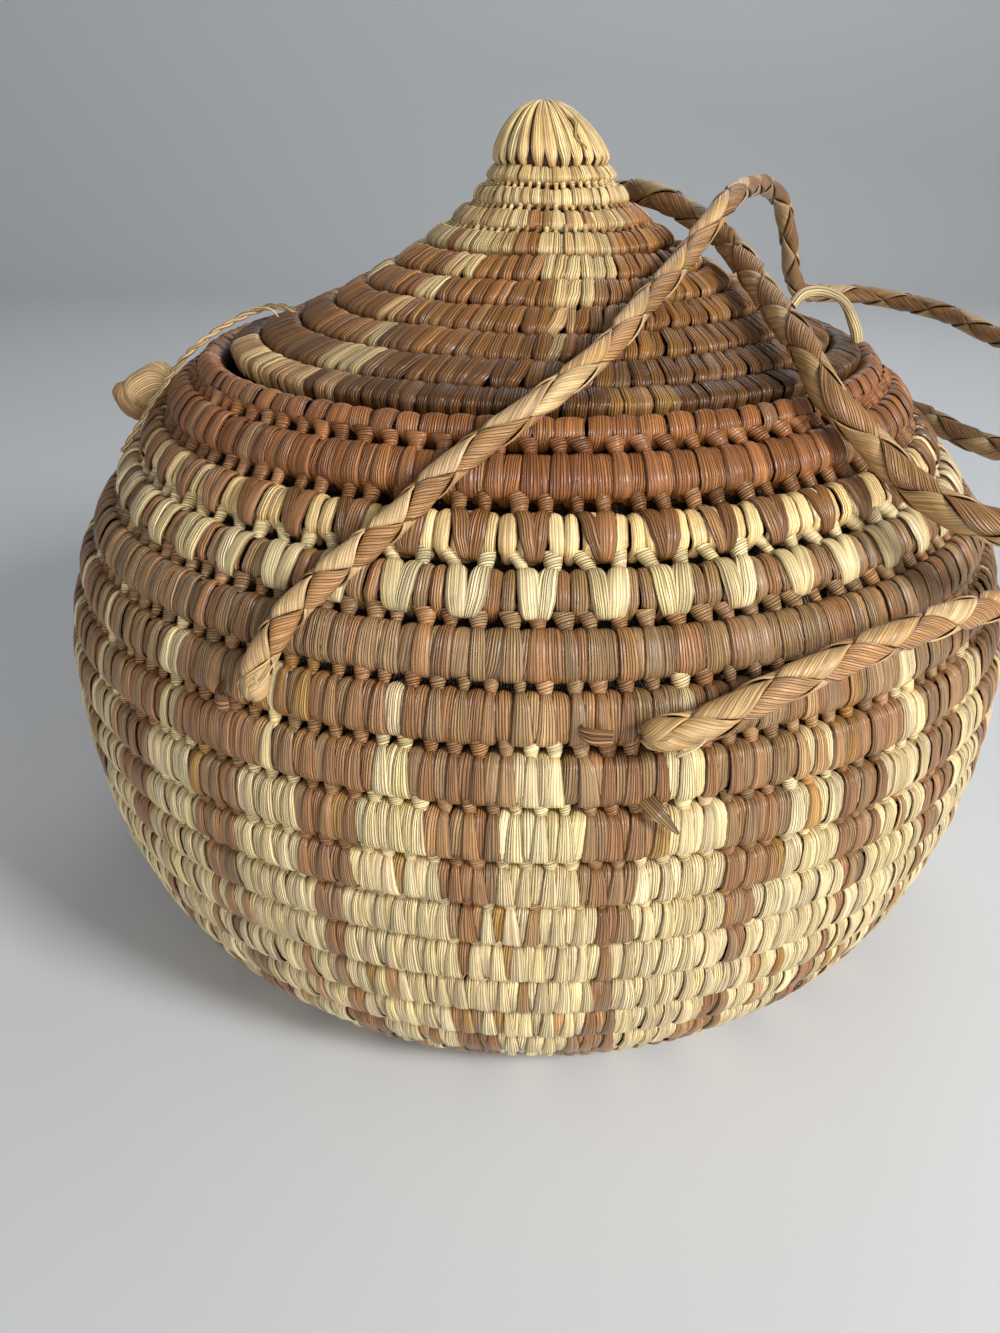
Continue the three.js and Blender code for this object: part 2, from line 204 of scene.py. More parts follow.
@dataclass(frozen=True)
class PalmLeafFinish:
    """Split palm leaf, dried and wrapped tight.

    It is smooth and slightly waxy, so it shows a soft highlight across each wrap. Its parallel veins stand up
    as round ribs, with painted shade in the narrow furrows between them, and some strips lie with their
    smoother side out.
    """

    name: str
    roughness: float = 0.35
    rib_depth_mm: float = 0.32
    rib_pitch_mm: float = RIB_PITCH
    # Darkening along the strips' edges stands for dirt and for painted shade between strips; in the furrows
    # it is painted shade
    edge_dirt_and_shade: float = 0.95
    furrow_shade: float = 0.9
    smooth_share: float = 0.2
    ior: float = 1.5
    # How far a vein wanders sideways, and how often a vein's wandering, a fibre's own tone and a stain change
    wander_mm: float = 1.2
    wanders_per_mm: float = 0.7
    fibres_per_mm: float = 1.3
    stains_per_mm: float = 0.2
    # The colour multiplied in for the furrows' painted shade and the edges' dirt and painted shade, and the
    # painted shadow tone of deep seams
    dirt_and_shade: str = "#5f3e25"
    shadow: str = "#2b1d12"

    def material(self) -> bpy.types.Material:
        """Builds the node material.

        Returns:
            The finished material.
        """
        mat = bpy.data.materials.new(self.name)
        mat.use_nodes = True
        tree = mat.node_tree
        tree.nodes.clear()
        out = add_node(tree, "ShaderNodeOutputMaterial")
        shader = add_node(tree, "ShaderNodeBsdfPrincipled",
                          inputs={"Roughness": self.roughness, "IOR": self.ior})
        tree.links.new(shader.outputs["BSDF"], out.inputs["Surface"])
        leaf = add_node(tree, "ShaderNodeAttribute", attribute_name="leaf")
        strip = add_node(tree, "ShaderNodeAttribute", attribute_name="strip")
        axes = add_node(tree, "ShaderNodeSeparateXYZ", inputs={"Vector": strip.outputs["Vector"]})
        across, along, seed = (axes.outputs[i] for i in range(3))

        # Veins: round ribs of even width, each of its own height and tone, changing slowly along the strip
        slow = add_node(tree, "ShaderNodeMath", operation="MULTIPLY", inputs={0: along, 1: 0.05})
        fibre_place = add_node(tree, "ShaderNodeCombineXYZ",
                               inputs={"X": across, "Y": slow.outputs[0], "Z": seed})
        waver = add_node(tree, "ShaderNodeTexNoise", noise_dimensions="3D",
                         inputs={"Vector": fibre_place.outputs[0], "Scale": self.wanders_per_mm,
                                 "Detail": 1.0})
        wander = add_node(tree, "ShaderNodeMath", operation="MULTIPLY_ADD",
                          inputs={0: waver.outputs["Fac"], 1: self.wander_mm, 2: across})
        phase = add_node(tree, "ShaderNodeMath", operation="MULTIPLY",
                         inputs={0: wander.outputs[0], 1: math.pi / self.rib_pitch_mm})
        wave = add_node(tree, "ShaderNodeMath", operation="SINE", inputs={0: phase.outputs[0]})
        rod = add_node(tree, "ShaderNodeMath", operation="ABSOLUTE", inputs={0: wave.outputs[0]})
        rib = add_node(tree, "ShaderNodeMath", operation="POWER", inputs={0: rod.outputs[0], 1: 0.5})
        fibre = add_node(tree, "ShaderNodeTexNoise", noise_dimensions="3D",
                         inputs={"Vector": fibre_place.outputs[0], "Scale": self.fibres_per_mm,
                                 "Detail": 2.0, "Roughness": 0.55})
        own = add_node(tree, "ShaderNodeMapRange",
                       inputs={"Value": fibre.outputs["Fac"], "From Min": 0.3, "From Max": 0.7,
                               "To Min": 0.0, "To Max": 1.0})

        # Which side of the leaf lies out: the smooth side hides most of its veins
        lot = add_node(tree, "ShaderNodeMath", operation="FRACT", inputs={0: seed})
        side = add_node(tree, "ShaderNodeMapRange",
                        inputs={"Value": lot.outputs[0], "From Min": self.smooth_share,
                                "From Max": self.smooth_share + 0.15, "To Min": 0.42, "To Max": 1.0})
        uneven = add_node(tree, "ShaderNodeMath", operation="MULTIPLY_ADD",
                          inputs={0: own.outputs[0], 1: 0.8, 2: 0.5})
        raised = add_node(tree, "ShaderNodeMath", operation="MULTIPLY",
                          inputs={0: rib.outputs[0], 1: uneven.outputs[0]})
        height = add_node(tree, "ShaderNodeMath", operation="MULTIPLY",
                          inputs={0: raised.outputs[0], 1: side.outputs[0]})
        bump = add_node(tree, "ShaderNodeBump",
                        inputs={"Height": height.outputs[0], "Distance": self.rib_depth_mm * MM,
                                "Strength": 1.0})
        tree.links.new(bump.outputs["Normal"], shader.inputs["Normal"])

        # Colour: painted shade in the furrows, dirt and painted shade along the strip's edges, ribs of their
        # own tone, and stains
        furrow = add_node(tree, "ShaderNodeMapRange",
                          inputs={"Value": rib.outputs[0], "From Min": 0.2, "From Max": 0.74,
                                  "To Min": self.furrow_shade, "To Max": 0.0})
        furrow_side = add_node(tree, "ShaderNodeMath", operation="MULTIPLY",
                               inputs={0: furrow.outputs[0], 1: side.outputs[0]})
        edge = add_node(tree, "ShaderNodeMapRange",
                        inputs={"Value": leaf.outputs["Alpha"], "From Min": 0.74, "From Max": 1.0,
                                "To Min": 0.0, "To Max": self.edge_dirt_and_shade})
        dirt_and_shade = add_node(tree, "ShaderNodeMath", operation="MAXIMUM",
                        inputs={0: furrow_side.outputs[0], 1: edge.outputs[0]})
        tone = add_node(tree, "ShaderNodeMapRange",
                        inputs={"Value": own.outputs[0], "To Min": 0.56, "To Max": 1.45})
        stain = add_node(tree, "ShaderNodeTexNoise", noise_dimensions="3D",
                         inputs={"Vector": strip.outputs["Vector"], "Scale": self.stains_per_mm,
                                 "Detail": 3.0})
        stain_range = add_node(tree, "ShaderNodeMapRange",
                               inputs={"Value": stain.outputs["Fac"], "From Min": 0.3, "From Max": 0.7,
                                       "To Min": 0.86, "To Max": 1.1})
        shade = add_node(tree, "ShaderNodeMath", operation="MULTIPLY",
                         inputs={0: tone.outputs[0], 1: stain_range.outputs[0]})
        fresh = add_node(tree, "ShaderNodeVectorMath", operation="SCALE",
                         inputs={0: leaf.outputs["Color"], "Scale": shade.outputs[0]})
        darkened = add_node(tree, "ShaderNodeMix", data_type="RGBA", blend_type="MULTIPLY",
                           inputs={0: dirt_and_shade.outputs[0], 6: fresh.outputs["Vector"],
                                   7: (*linear(self.dirt_and_shade), 1.0)})
        # An edge value past 1 marks leaf that lies deep in a seam, where hardly any light gets: there the
        # shadow tone is mixed in as painted shade
        deep = add_node(tree, "ShaderNodeMapRange",
                        inputs={"Value": leaf.outputs["Alpha"], "From Min": 1.1, "From Max": 2.0,
                                "To Min": 0.0, "To Max": 0.9})
        shaded = add_node(tree, "ShaderNodeMix", data_type="RGBA",
                          inputs={0: deep.outputs[0], 6: darkened.outputs[2], 7: (*linear(self.shadow), 1.0)})
        tree.links.new(shaded.outputs[2], shader.inputs["Base Color"])
        return mat


# Broad strips pressed flat in the plait: a drier surface with a dull sheen and shallower ribs
PLAITED_LEAF = PalmLeafFinish("palm_leaf_plaited", roughness=0.42, rib_depth_mm=0.26, furrow_shade=0.8)
# Narrow strips drawn tight over the coil: a waxy sheen across each wrap, painted shade in the furrows, and
# dirt and painted shade along the edges
WRAPPED_LEAF = PalmLeafFinish("palm_leaf_wrapped")
# Strips rolled into string or folded into ties: matt, with nearly every vein showing and no edge darkening
SPUN_LEAF = PalmLeafFinish("palm_leaf_string", roughness=0.6, edge_dirt_and_shade=0.0, smooth_share=0.0)


@dataclass(frozen=True)
class StudioPaintFinish:
    """Pale studio paint, rolled on in one even tone, so it takes soft shadows and hardly shines."""

    name: str = "painted_floor"
    tone: str = "#dcdfe2"
    roughness: float = 0.55

    def material(self) -> bpy.types.Material:
        """Builds the node material.

        Returns:
            The finished material.
        """
        mat = bpy.data.materials.new(self.name)
        mat.use_nodes = True
        shader = mat.node_tree.nodes["Principled BSDF"]
        shader.inputs["Base Color"].default_value = (*linear(self.tone), 1)
        shader.inputs["Roughness"].default_value = self.roughness
        return mat


def add_node(tree: bpy.types.NodeTree, kind: str, inputs: dict | None = None, **settings) -> bpy.types.Node:
    """Adds one node with its settings, values and incoming links.

    Args:
        tree: The tree that takes the node.
        kind: The node's type.
        inputs: A value, or an output socket to link from, for each input by name or place.
        **settings: Properties set on the node.

    Returns:
        The new node.
    """
    node = tree.nodes.new(kind)
    for name, value in settings.items():
        setattr(node, name, value)
    for key, value in (inputs or {}).items():
        if isinstance(value, bpy.types.NodeSocket):
            tree.links.new(value, node.inputs[key])
        else:
            node.inputs[key].default_value = value
    return node


@dataclass
class LeafMesh:
    """Gathers sheets of leaf into one mesh, with each strip's tone and its own coordinates."""

    points: list = field(default_factory=list)
    quads: list = field(default_factory=list)
    strips: list = field(default_factory=list)
    leaves: list = field(default_factory=list)
    count: int = 0

    def add(self, points: np.ndarray, across: np.ndarray, along: np.ndarray, edge: np.ndarray,
            colour: np.ndarray, seed: np.ndarray, closed: bool = False) -> None:
        """Adds many strips of one layout.

        Args:
            points: Places in millimetres, strips by rows across by rows along by three.
            across: Distance across each strip in millimetres, in the layout of points.
            along: Distance along each strip in millimetres, in the layout of points.
            edge: Nearness to the strip's edge from 0 to 1, darkened as dirt and painted shade, or up to 2
                where a
            seam is painted in deep shade, laid out as points are.
            colour: Linear tone of each strip.
            seed: One number for each strip.
            closed: Whether the strips close on themselves along their length.
        """
        total, wide, long = points.shape[:3]
        shape = (total, wide, long)
        index = np.arange(total * wide * long).reshape(shape) + self.count
        ends = index[:, :, :1] if closed else index[:, :, :0]
        ring = np.concatenate([index, ends], axis=2)
        quad = np.stack([ring[:, :-1, :-1], ring[:, 1:, :-1], ring[:, 1:, 1:], ring[:, :-1, 1:]], axis=-1)
        tone = np.broadcast_to(colour[:, None, None, :], shape + (3,))
        mark = np.broadcast_to(seed[:, None, None], shape)
        self.points.append(points.reshape(-1, 3))
        self.quads.append(quad.reshape(-1, 4))
        self.strips.append(np.stack([np.broadcast_to(across, shape), np.broadcast_to(along, shape), mark],
                                    axis=-1).reshape(-1, 3))
        dirty = np.broadcast_to(edge, shape)[..., None]
        self.leaves.append(np.concatenate([tone, dirty], axis=-1).reshape(-1, 4))
        self.count += total * wide * long

    def add_tube(self, path: np.ndarray, radius: np.ndarray, sides: int, start: float, tone: np.ndarray,
                 seed: np.ndarray, first: tuple[float, float, float] = UP) -> None:
        """Adds a plain round strand along a path.

        Args:
            path: Its centre line.
            radius: Its radius at each point.
            sides: How many points go round it.
            start: Where its distance across starts.
            tone: Its linear tone.
            seed: Its own number.
            first: A direction for its first side.
        """
        side, up = carried_frames(path, first)
        ring = np.linspace(0, TURN, sides, endpoint=False)
        out = side[:, None] * np.cos(ring)[None, :, None] + up[:, None] * np.sin(ring)[None, :, None]
        points = path[:, None] + out * radius[:, None, None]
        across = start + ring[None, :] * radius[:, None]
        along = run_lengths(path)[:, None] + 0 * across
        edge = np.zeros((1,) + across.shape)
        self.add(points[None], across[None], along[None], edge, tone, seed, closed=True)

    def build(self, name: str, material: bpy.types.Material, body: str, nodes: tuple[str, ...],
              slot: str) -> bpy.types.Object:
        """Makes the object, rides it on its body and lets it stand for its solids.

        Args:
            name: The piece's name.
            material: Its finish.
            body: The CAD body that it moves with, or nothing for a piece that spans two.
            nodes: The CAD nodes that it replaces.
            slot: Not used.

        Returns:
            The finished piece.
        """
        mesh = bpy.data.meshes.new(name)
        points = np.concatenate(self.points) * MM
        quads = np.concatenate(self.quads)
        mesh.vertices.add(len(points))
        mesh.vertices.foreach_set("co", points.ravel())
        mesh.loops.add(quads.size)
        mesh.loops.foreach_set("vertex_index", quads.ravel().astype(np.int32))
        mesh.polygons.add(len(quads))
        mesh.polygons.foreach_set("loop_start", np.arange(0, quads.size, 4, dtype=np.int32))
        mesh.polygons.foreach_set("use_smooth", np.ones(len(quads), dtype=bool))
        mesh.update(calc_edges=True)
        strip = mesh.attributes.new("strip", "FLOAT_VECTOR", "POINT")
        strip.data.foreach_set("vector", np.concatenate(self.strips).ravel().astype(np.float32))
        leaf = mesh.attributes.new("leaf", "FLOAT_COLOR", "POINT")
        leaf.data.foreach_set("color", np.concatenate(self.leaves).ravel().astype(np.float32))
        mesh.materials.append(material)
        piece = bpy.data.objects.new(name, mesh)
        bpy.context.scene.collection.objects.link(piece)
        if nodes:
            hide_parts(*nodes)
        if body:
            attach(piece, body)
        LOG.info("%s: %d faces", name, len(quads))
        return piece


def run_lengths(points: np.ndarray) -> np.ndarray:
    """Length from a path's start to each of its points.

    Args:
        points: The path, one row for each point.

    Returns:
        The lengths.
    """
    return np.concatenate([[0.0], np.cumsum(np.linalg.norm(np.diff(points, axis=0), axis=1))])


def looked_up(places: np.ndarray | float, table: Table) -> np.ndarray:
    """Values of a table that changes evenly between its rows.

    Args:
        places: Places at which it is read.
        table: The table.

    Returns:
        The value at each place.
    """
    return np.interp(places, *zip(*table))


def bezier(ends: tuple, samples: int = 400) -> np.ndarray:
    """Points of one cubic curve.

    Args:
        ends: Its four control points.
        samples: How many points.

    Returns:
        The points, one row each.
    """
    t = np.linspace(0, 1, samples)[:, None]
    a, b, c, d = (np.asarray(p, float) for p in ends)
    return (1 - t) ** 3 * a + 3 * (1 - t) ** 2 * t * b + 3 * (1 - t) * t * t * c + t ** 3 * d


@dataclass
class CentreLine:
    """A coil's centre line in radius and height, measured by length."""

    points: np.ndarray

    def __post_init__(self) -> None:
        """Measures the line."""
        self.lengths = run_lengths(self.points)
        self.total = float(self.lengths[-1])

    def at(self, length: float) -> tuple[np.ndarray, np.ndarray, np.ndarray]:
        """The place at a length, past either end too.

        Args:
            length: Length from the line's start in millimetres.

        Returns:
            The place, the unit direction along the line, and the unit direction outward from it.
        """
        inside = min(max(length, 0.4), self.total - 0.4)
        place = np.array([np.interp(inside, self.lengths, self.points[:, i]) for i in (0, 1)])
        near = np.array([np.interp(inside - 0.3, self.lengths, self.points[:, i]) for i in (0, 1)])
        far = np.array([np.interp(inside + 0.3, self.lengths, self.points[:, i]) for i in (0, 1)])
        along = (far - near) / np.linalg.norm(far - near)
        return place + along * (length - inside), along, np.array([along[1], -along[0]])


def wall_line() -> CentreLine:
    """The basket's centre line.

    Returns:
        The line, from the middle of the base to the mouth.
    """
    shoulder, mouth = np.array(SHOULDER), np.array(MOUTH)
    slope = (mouth - shoulder) / np.linalg.norm(mouth - shoulder)
    foot = bezier(((FLAT_RADIUS, COIL_HALF), (FLAT_RADIUS + FOOT_PULL, COIL_HALF),
                   (BELLY_RADIUS, BELLY_HEIGHT - BELLY_PULL_DOWN), (BELLY_RADIUS, BELLY_HEIGHT)))
    rise = bezier(((BELLY_RADIUS, BELLY_HEIGHT), (BELLY_RADIUS, BELLY_HEIGHT + BELLY_PULL_UP),
                   shoulder - slope * SHOULDER_PULL, shoulder))
    return CentreLine(np.vstack([[0.0, COIL_HALF], foot, rise[1:], mouth]))


def lid_line() -> CentreLine:
    """The lid's centre line.

    Returns:
        The line, from its rim coil to the knob.
    """
    reach = MOUTH_HALF + LID_RIM_HALF + SEAM_GAP
    angle = math.radians(LID_SEAT_ANGLE)
    seat = np.array(MOUTH) + reach * np.array([math.cos(angle), math.sin(angle)])
    top = np.array([LID_TOP_RADIUS, seat[1] + LID_RISE])
    return CentreLine(bezier((seat, seat + LID_RIM_PULL, top + LID_TOP_PULL, top)))


def round_axis(azimuth: np.ndarray, radius: np.ndarray, height: np.ndarray) -> np.ndarray:
    """Places round the basket's axis.

    Args:
        azimuth: Angle from the front in radians.
        radius: Distance from the axis in millimetres.
        height: Height in millimetres.

    Returns:
        The places, with x, y and z on the last axis.
    """
    return np.stack([radius * np.sin(azimuth), -radius * np.cos(azimuth), height + 0 * azimuth], axis=-1)


def lid_slip(points: np.ndarray) -> np.ndarray:
    """Moves the lid's points to where it has slid and leant on its seat.

    Args:
        points: Places on the upright, centred lid.

    Returns:
        The places moved.
    """
    heights, sideways, shares = zip(*LID_LEAN)
    share = np.interp(points[..., 2], heights, shares)
    moved = points * np.stack([share, share, np.ones_like(share)], axis=-1)
    moved[..., 0] += np.interp(points[..., 2], heights, sideways)
    moved[..., 1] += LID_SLIP_BACK
    return moved


@dataclass(frozen=True)
class StitchForm:
    """How one kind of stitch lies over a row, from its knot down to its foot, in millimetres.

    The halves are half widths down the stitch. Of each pair of stitches the left one takes the first of
    starts and leans, and the right one the second. The poke is how far the foot passes the row's edge, and
    the turns are the angles round the coil, in degrees, between which the stitch lies.
    """

    halves: tuple[float, ...] = (1.3, 1.9, 2.25, 2.3, 1.9)
    starts: tuple[float, float] = (0.0, 0.0)
    leans: tuple[float, float] = (0.35, 0.35)
    lean_spread: float = 0.5
    width_spread: float = 0.1
    proud: float = 0.5
    poke: float = 0.0
    start_turn: float = 74.0
    foot_turn: float = -98.0


@dataclass(frozen=True)
class WrapForm:
    """How unevenly a row's wraps are laid, in millimetres or as shares of a wrap's width."""

    edge_jitter: float = 0.09
    lean_spread: float = 0.1
    curve_spread: float = 0.1
    ragged: float = 0.11
    bulge_range: tuple[float, float] = (0.75, 1.2)
    roundness: float = 2.6
    sunk: float = 0.35
    height_spread: float = 0.16
    # Near a seam the wraps are drawn together and their edges dip
    seam_pinch: float = 0.14
    seam_dip: float = 2.2
    seam_from: float = 0.6


@dataclass(frozen=True)
class KnotForm:
    """A bound knot between two rows, from the upper row down, in millimetres.

    The halves are half widths down the knot, and the shifts and slants carry it sideways. Of each pair of
    knots the left one takes the first slant and the right one the second.
    """

    halves: tuple[float, ...] = (1.7, 1.95, 1.7, 1.3, 0.8)
    shifts: tuple[float, ...] = (-0.2, -0.1, 0.0, 0.0, 0.0)
    slants: tuple[float, float] = (0.0, 0.0)
    reach_up: float = 1.2
    reach_down: float = 1.6
    depth: float = 1.5
    width_spread: float = 0.1


LACE = StitchForm(halves=(0.9, 1.35, 1.95, 2.3, 2.0), lean_spread=0.55, proud=0.75)
FLAT_LACE = StitchForm(halves=(1.5, 1.95, 2.35, 2.4, 2.1), lean_spread=0.4, proud=0.75)
DARK_VEE = StitchForm(halves=(1.6, 2.15, 2.25, 1.9, 1.2), leans=(4.3, -1.9), lean_spread=0.4, proud=1.0,
                      poke=1.7, foot_turn=-80.0)
PALE_VEE = StitchForm(halves=(1.7, 2.3, 2.5, 2.2, 1.5), starts=(1.3, -0.2), leans=(2.1, -2.6),
                      lean_spread=0.35, proud=1.0, poke=1.2, foot_turn=-84.0)
PETAL = StitchForm(halves=(0.6, 1.15, 1.55, 1.55, 1.15), leans=(0.1, 0.1), lean_spread=0.15, proud=0.3)

COLLAR = KnotForm(halves=(3.1, 2.6, 1.95, 1.65, 1.7), shifts=(-1.5, -0.8, -0.2, 0.0, 0.0), reach_up=1.3,
                  reach_down=1.1, depth=1.7)
UPRIGHT_COLLAR = replace(COLLAR, halves=(2.2, 2.15, 1.85, 1.65, 1.7), shifts=(-0.3, -0.2, 0.0, 0.0, 0.0))
FAN_COLLAR = replace(COLLAR, halves=(2.6, 2.3, 1.9, 1.5, 1.4), shifts=(-0.8, -0.4, -0.1, 0.0, 0.0),
                     reach_up=0.9)
SLANTED_COLLAR = replace(UPRIGHT_COLLAR, slants=(2.7, -0.4))
BULB = KnotForm()
SMALL_BULB = KnotForm(halves=(1.5, 1.7, 1.5, 1.1, 0.7), reach_up=1.0, reach_down=1.5, depth=1.2)
POST = KnotForm(halves=(1.0, 0.72, 0.62, 0.68, 0.85), shifts=(0.0, 0.0, 0.0, 0.0, 0.0), reach_up=0.9,
                reach_down=0.9, depth=0.8)
WRAPS = WrapForm()


@dataclass
class RowSpec:
    """One row of coil: where it lies, how its leaf is laid, and what it is sewn with."""

    name: str
    # Where it runs: its lower and upper edge along the centre line, half its thickness and the gaps beside it
    line: CentreLine
    low: float
    high: float
    half: float
    gap_below: float
    gap_above: float
    # The knots' azimuths in radians, and the tones of the wraps and of the stitches
    knots: np.ndarray
    colour_at: ToneRule
    stitch_colour_at: ToneRule
    body: str
    node: str
    slot: str
    wrap_width: float = 6.0
    stitch: StitchForm | None = None
    knot: KnotForm | None = None
    seed: int = 0
    fine: bool = True
    # How far each wrap stands up, how much it laps over its neighbour, and its width as a share of its place
    bulge: float = 0.7
    shingle: float = 0.0
    overlap: float = 0.985
    # How far the wraps bow sideways and lean, and how square the coil's section is
    bow: float = 0.0
    slant: float = 0.05
    square: float = 0.68
    # Whether the row slips and leans with the lid
    slips: bool = False
    # The shares of wraps and of stitches with their smooth side out, and the turn from which the seam is
    # painted in shade
    smooth: tuple[float, float] = (0.25, 0.25)
    seam_shade_from: float = 88.0


@dataclass
class CoilRow:
    """Builds one row's wraps, stitches and knots from its RowSpec.

    The turns are angles round the coil in degrees: the face reaches to face_turn on each side, the painted
    shade of the seam is deepest at seam_turn, and it fades out towards fade_turn on the inside. The core's
    depth and reach are how far it lies inside the centre line and past the row's edges, in millimetres.
    """

    spec: RowSpec
    face_turn: float = 112.0
    seam_turn: float = 118.0
    fade_turn: float = 148.0
    core_depth: float = 1.4
    core_reach: float = 0.8

    def section(self, turn: np.ndarray, lift: np.ndarray | float,
                slide: np.ndarray | float = 0.0) -> tuple[np.ndarray, np.ndarray]:
        """The coil's cross-section, a rounded barrel that is flatter on its face.

        Args:
            turn: Angle round the section, 0 at the outward crest and positive towards the next row.
            lift: Distance proud of the surface in millimetres.
            slide: Distance moved along the wall in millimetres, positive towards the next row.

        Returns:
            Radius and height of each point.
        """
        spec = self.spec
        low = spec.low + spec.gap_below / 2
        high = spec.high - spec.gap_above / 2
        middle, half_run = (low + high) / 2, (high - low) / 2
        centre = spec.line.at(middle)[0]
        sine, cosine = np.sin(turn), np.cos(turn)
        inside = np.clip(-cosine * 2.5, 0, 1)
        closing = np.where(sine > 0, spec.gap_above, spec.gap_below) / 2 * inside
        run = np.sign(sine) * np.abs(sine) ** spec.square * (half_run + lift * 0.6 + closing) + slide
        out = np.sign(cosine) * np.abs(cosine) ** spec.square * (spec.half + lift)
        # The wall bends within a row, so each point is placed on the curve at its own length
        start, _, start_out = spec.line.at(low)
        end, _, end_out = spec.line.at(high)
        share = (run / half_run + 1) / 2
        bow = centre - (start + end) / 2
        base_r = start[0] + (end[0] - start[0]) * share + bow[0] * (1 - (2 * share - 1) ** 2)
        base_z = start[1] + (end[1] - start[1]) * share + bow[1] * (1 - (2 * share - 1) ** 2)
        out_r = start_out[0] + (end_out[0] - start_out[0]) * np.clip(share, 0, 1)
        out_z = start_out[1] + (end_out[1] - start_out[1]) * np.clip(share, 0, 1)
        size = np.hypot(out_r, out_z)
        return base_r + out * out_r / size, base_z + out * out_z / size

    def stand(self, azimuth: np.ndarray, radius: np.ndarray, height: np.ndarray) -> np.ndarray:
        """Stands points round the basket, with the slow sway that a hand-sewn coil has.

        Args:
            azimuth: Angle round the basket from the front in radians.
            radius: Distance from the axis in millimetres.
            height: Height in millimetres.

        Returns:
            The points in millimetres.
        """
        seed = self.spec.seed
        sway = 0.35 * np.sin(azimuth * 5 + seed) + 0.2 * np.sin(azimuth * 11 + seed * 2.7)
        # No leaf goes below the floor that the base stands on
        points = round_axis(azimuth, radius + 0.6 * sway, np.maximum(height + 0.5 * sway, 0.0))
        return lid_slip(points) if self.spec.slips else points

    def place(self, azimuth: np.ndarray, turn: np.ndarray, lift: np.ndarray,
              slide: np.ndarray | float = 0.0) -> np.ndarray:
        """Places points of the row's surface; the arguments are those of section and stand."""
        return self.stand(azimuth, *self.section(turn, lift, slide))

    def build(self, material: bpy.types.Material) -> bpy.types.Object:
        """Builds the row as one piece.

        Args:
            material: The palm-leaf finish.

        Returns:
            The row.
        """
        spec = self.spec
        rng = np.random.default_rng(1000 + spec.seed)
        mesh = LeafMesh()
        self.girth = spec.line.at((spec.low + spec.high) / 2)[0][0] + spec.half
        self.add_wraps(mesh, rng)
        self.add_shaded_core(mesh, rng)
        tone = spec.stitch_colour_at(np.degrees(spec.knots), rng)
        seed = sides_out(len(spec.knots), rng, spec.smooth[1])
        if spec.stitch:
            self.add_stitches(mesh, rng, tone, seed)
        if spec.knot:
            self.add_knots(mesh, rng, tone, seed)
        return mesh.build(spec.name, material, spec.body, (spec.node,), spec.slot)

    def add_shaded_core(self, mesh: LeafMesh, rng: np.random.Generator) -> None:
        """Adds a core inside the coil, painted nearly in the shadow tone: it stands for the shade seen
        through the holes between the rows.

        Args:
            mesh: The mesh that takes it.
            rng: The row's random numbers.
        """
        spec = self.spec
        first, last = max(spec.low - self.core_reach, 0.5), min(spec.high + self.core_reach, spec.line.total)
        lengths = np.linspace(first, last, 5)
        azimuth = np.linspace(0, TURN, 121)
        columns = []
        for length in lengths:
            middle, _, out = spec.line.at(float(length))
            radius, height = middle - self.core_depth * out
            columns.append(round_axis(azimuth, radius, height))
        points = np.stack(columns, axis=1)[None]
        points = lid_slip(points) if spec.slips else points
        shape = points.shape[:3]
        across = np.broadcast_to((azimuth * self.girth)[None, :, None], shape)
        along = np.broadcast_to(lengths[None, None, :], shape)
        # An edge value of 2 paints the core in the deep seam's painted shade
        mesh.add(points, across, along, np.full(shape, 2.0), tones(Leaf.UMBER, 1, rng), np.array([2.5]))

    def add_wraps(self, mesh: LeafMesh, rng: np.random.Generator) -> None:
        """Adds the row's own wraps, which fill the coil between its stitches.

        Args:
            mesh: The mesh that takes them.
            rng: The row's random numbers.
        """
        spec, form = self.spec, WRAPS
        middle, width = self.wrap_places(rng)
        total = len(middle)
        wide, long = (8, 17) if spec.fine else (4, 12)
        share = np.linspace(-1, 1, wide)[None, :, None]
        turn = self.turns(long)[None, None, :]
        sine = np.sin(turn)
        lean = rng.normal(spec.slant, form.lean_spread + 0.25 * spec.slant, (total, 1, 1)) * sine
        lean = lean + spec.bow * (1 - np.cos(turn))
        ragged = rng.normal(0, form.ragged, (total, wide, long)) * (np.abs(share) > 0.95) / self.girth
        curve = rng.normal(0, form.curve_spread, (total, 1, 1)) * np.cos(turn)
        filled = share * (spec.overlap - form.seam_pinch * np.abs(sine) ** 5)
        azimuth = middle + width * (filled + lean + curve) + ragged
        bulge = spec.bulge * rng.uniform(*form.bulge_range, (total, 1, 1))
        dip = np.clip(np.abs(sine) - form.seam_from, 0, 1) * form.seam_dip
        lift = bulge * (1 - np.abs(share) ** form.roundness) - form.sunk - dip * np.abs(share) ** 2
        lift = lift - spec.shingle * share * (1 - 0.4 * np.abs(sine))
        lift = lift + rng.normal(0, form.height_spread, (total, 1, 1))
        points = self.place(azimuth, np.broadcast_to(turn, azimuth.shape), lift)
        across = share * width * self.girth + 0 * turn + rng.uniform(0, LEAF_BREADTH, (total, 1, 1))
        along = turn * spec.half * 1.2 + rng.uniform(0, LEAF_LENGTH, (total, 1, 1)) + 0 * share
        # Dirt and painted shade towards each wrap's edges, and deep painted shade where it dives into a seam
        edge = np.maximum(np.abs(share), self.seam_shade(turn)) + 0 * azimuth
        colour = spec.colour_at(np.degrees(middle[:, 0, 0]), rng)
        mesh.add(points, across, along, edge, colour, sides_out(total, rng, spec.smooth[0]), closed=True)

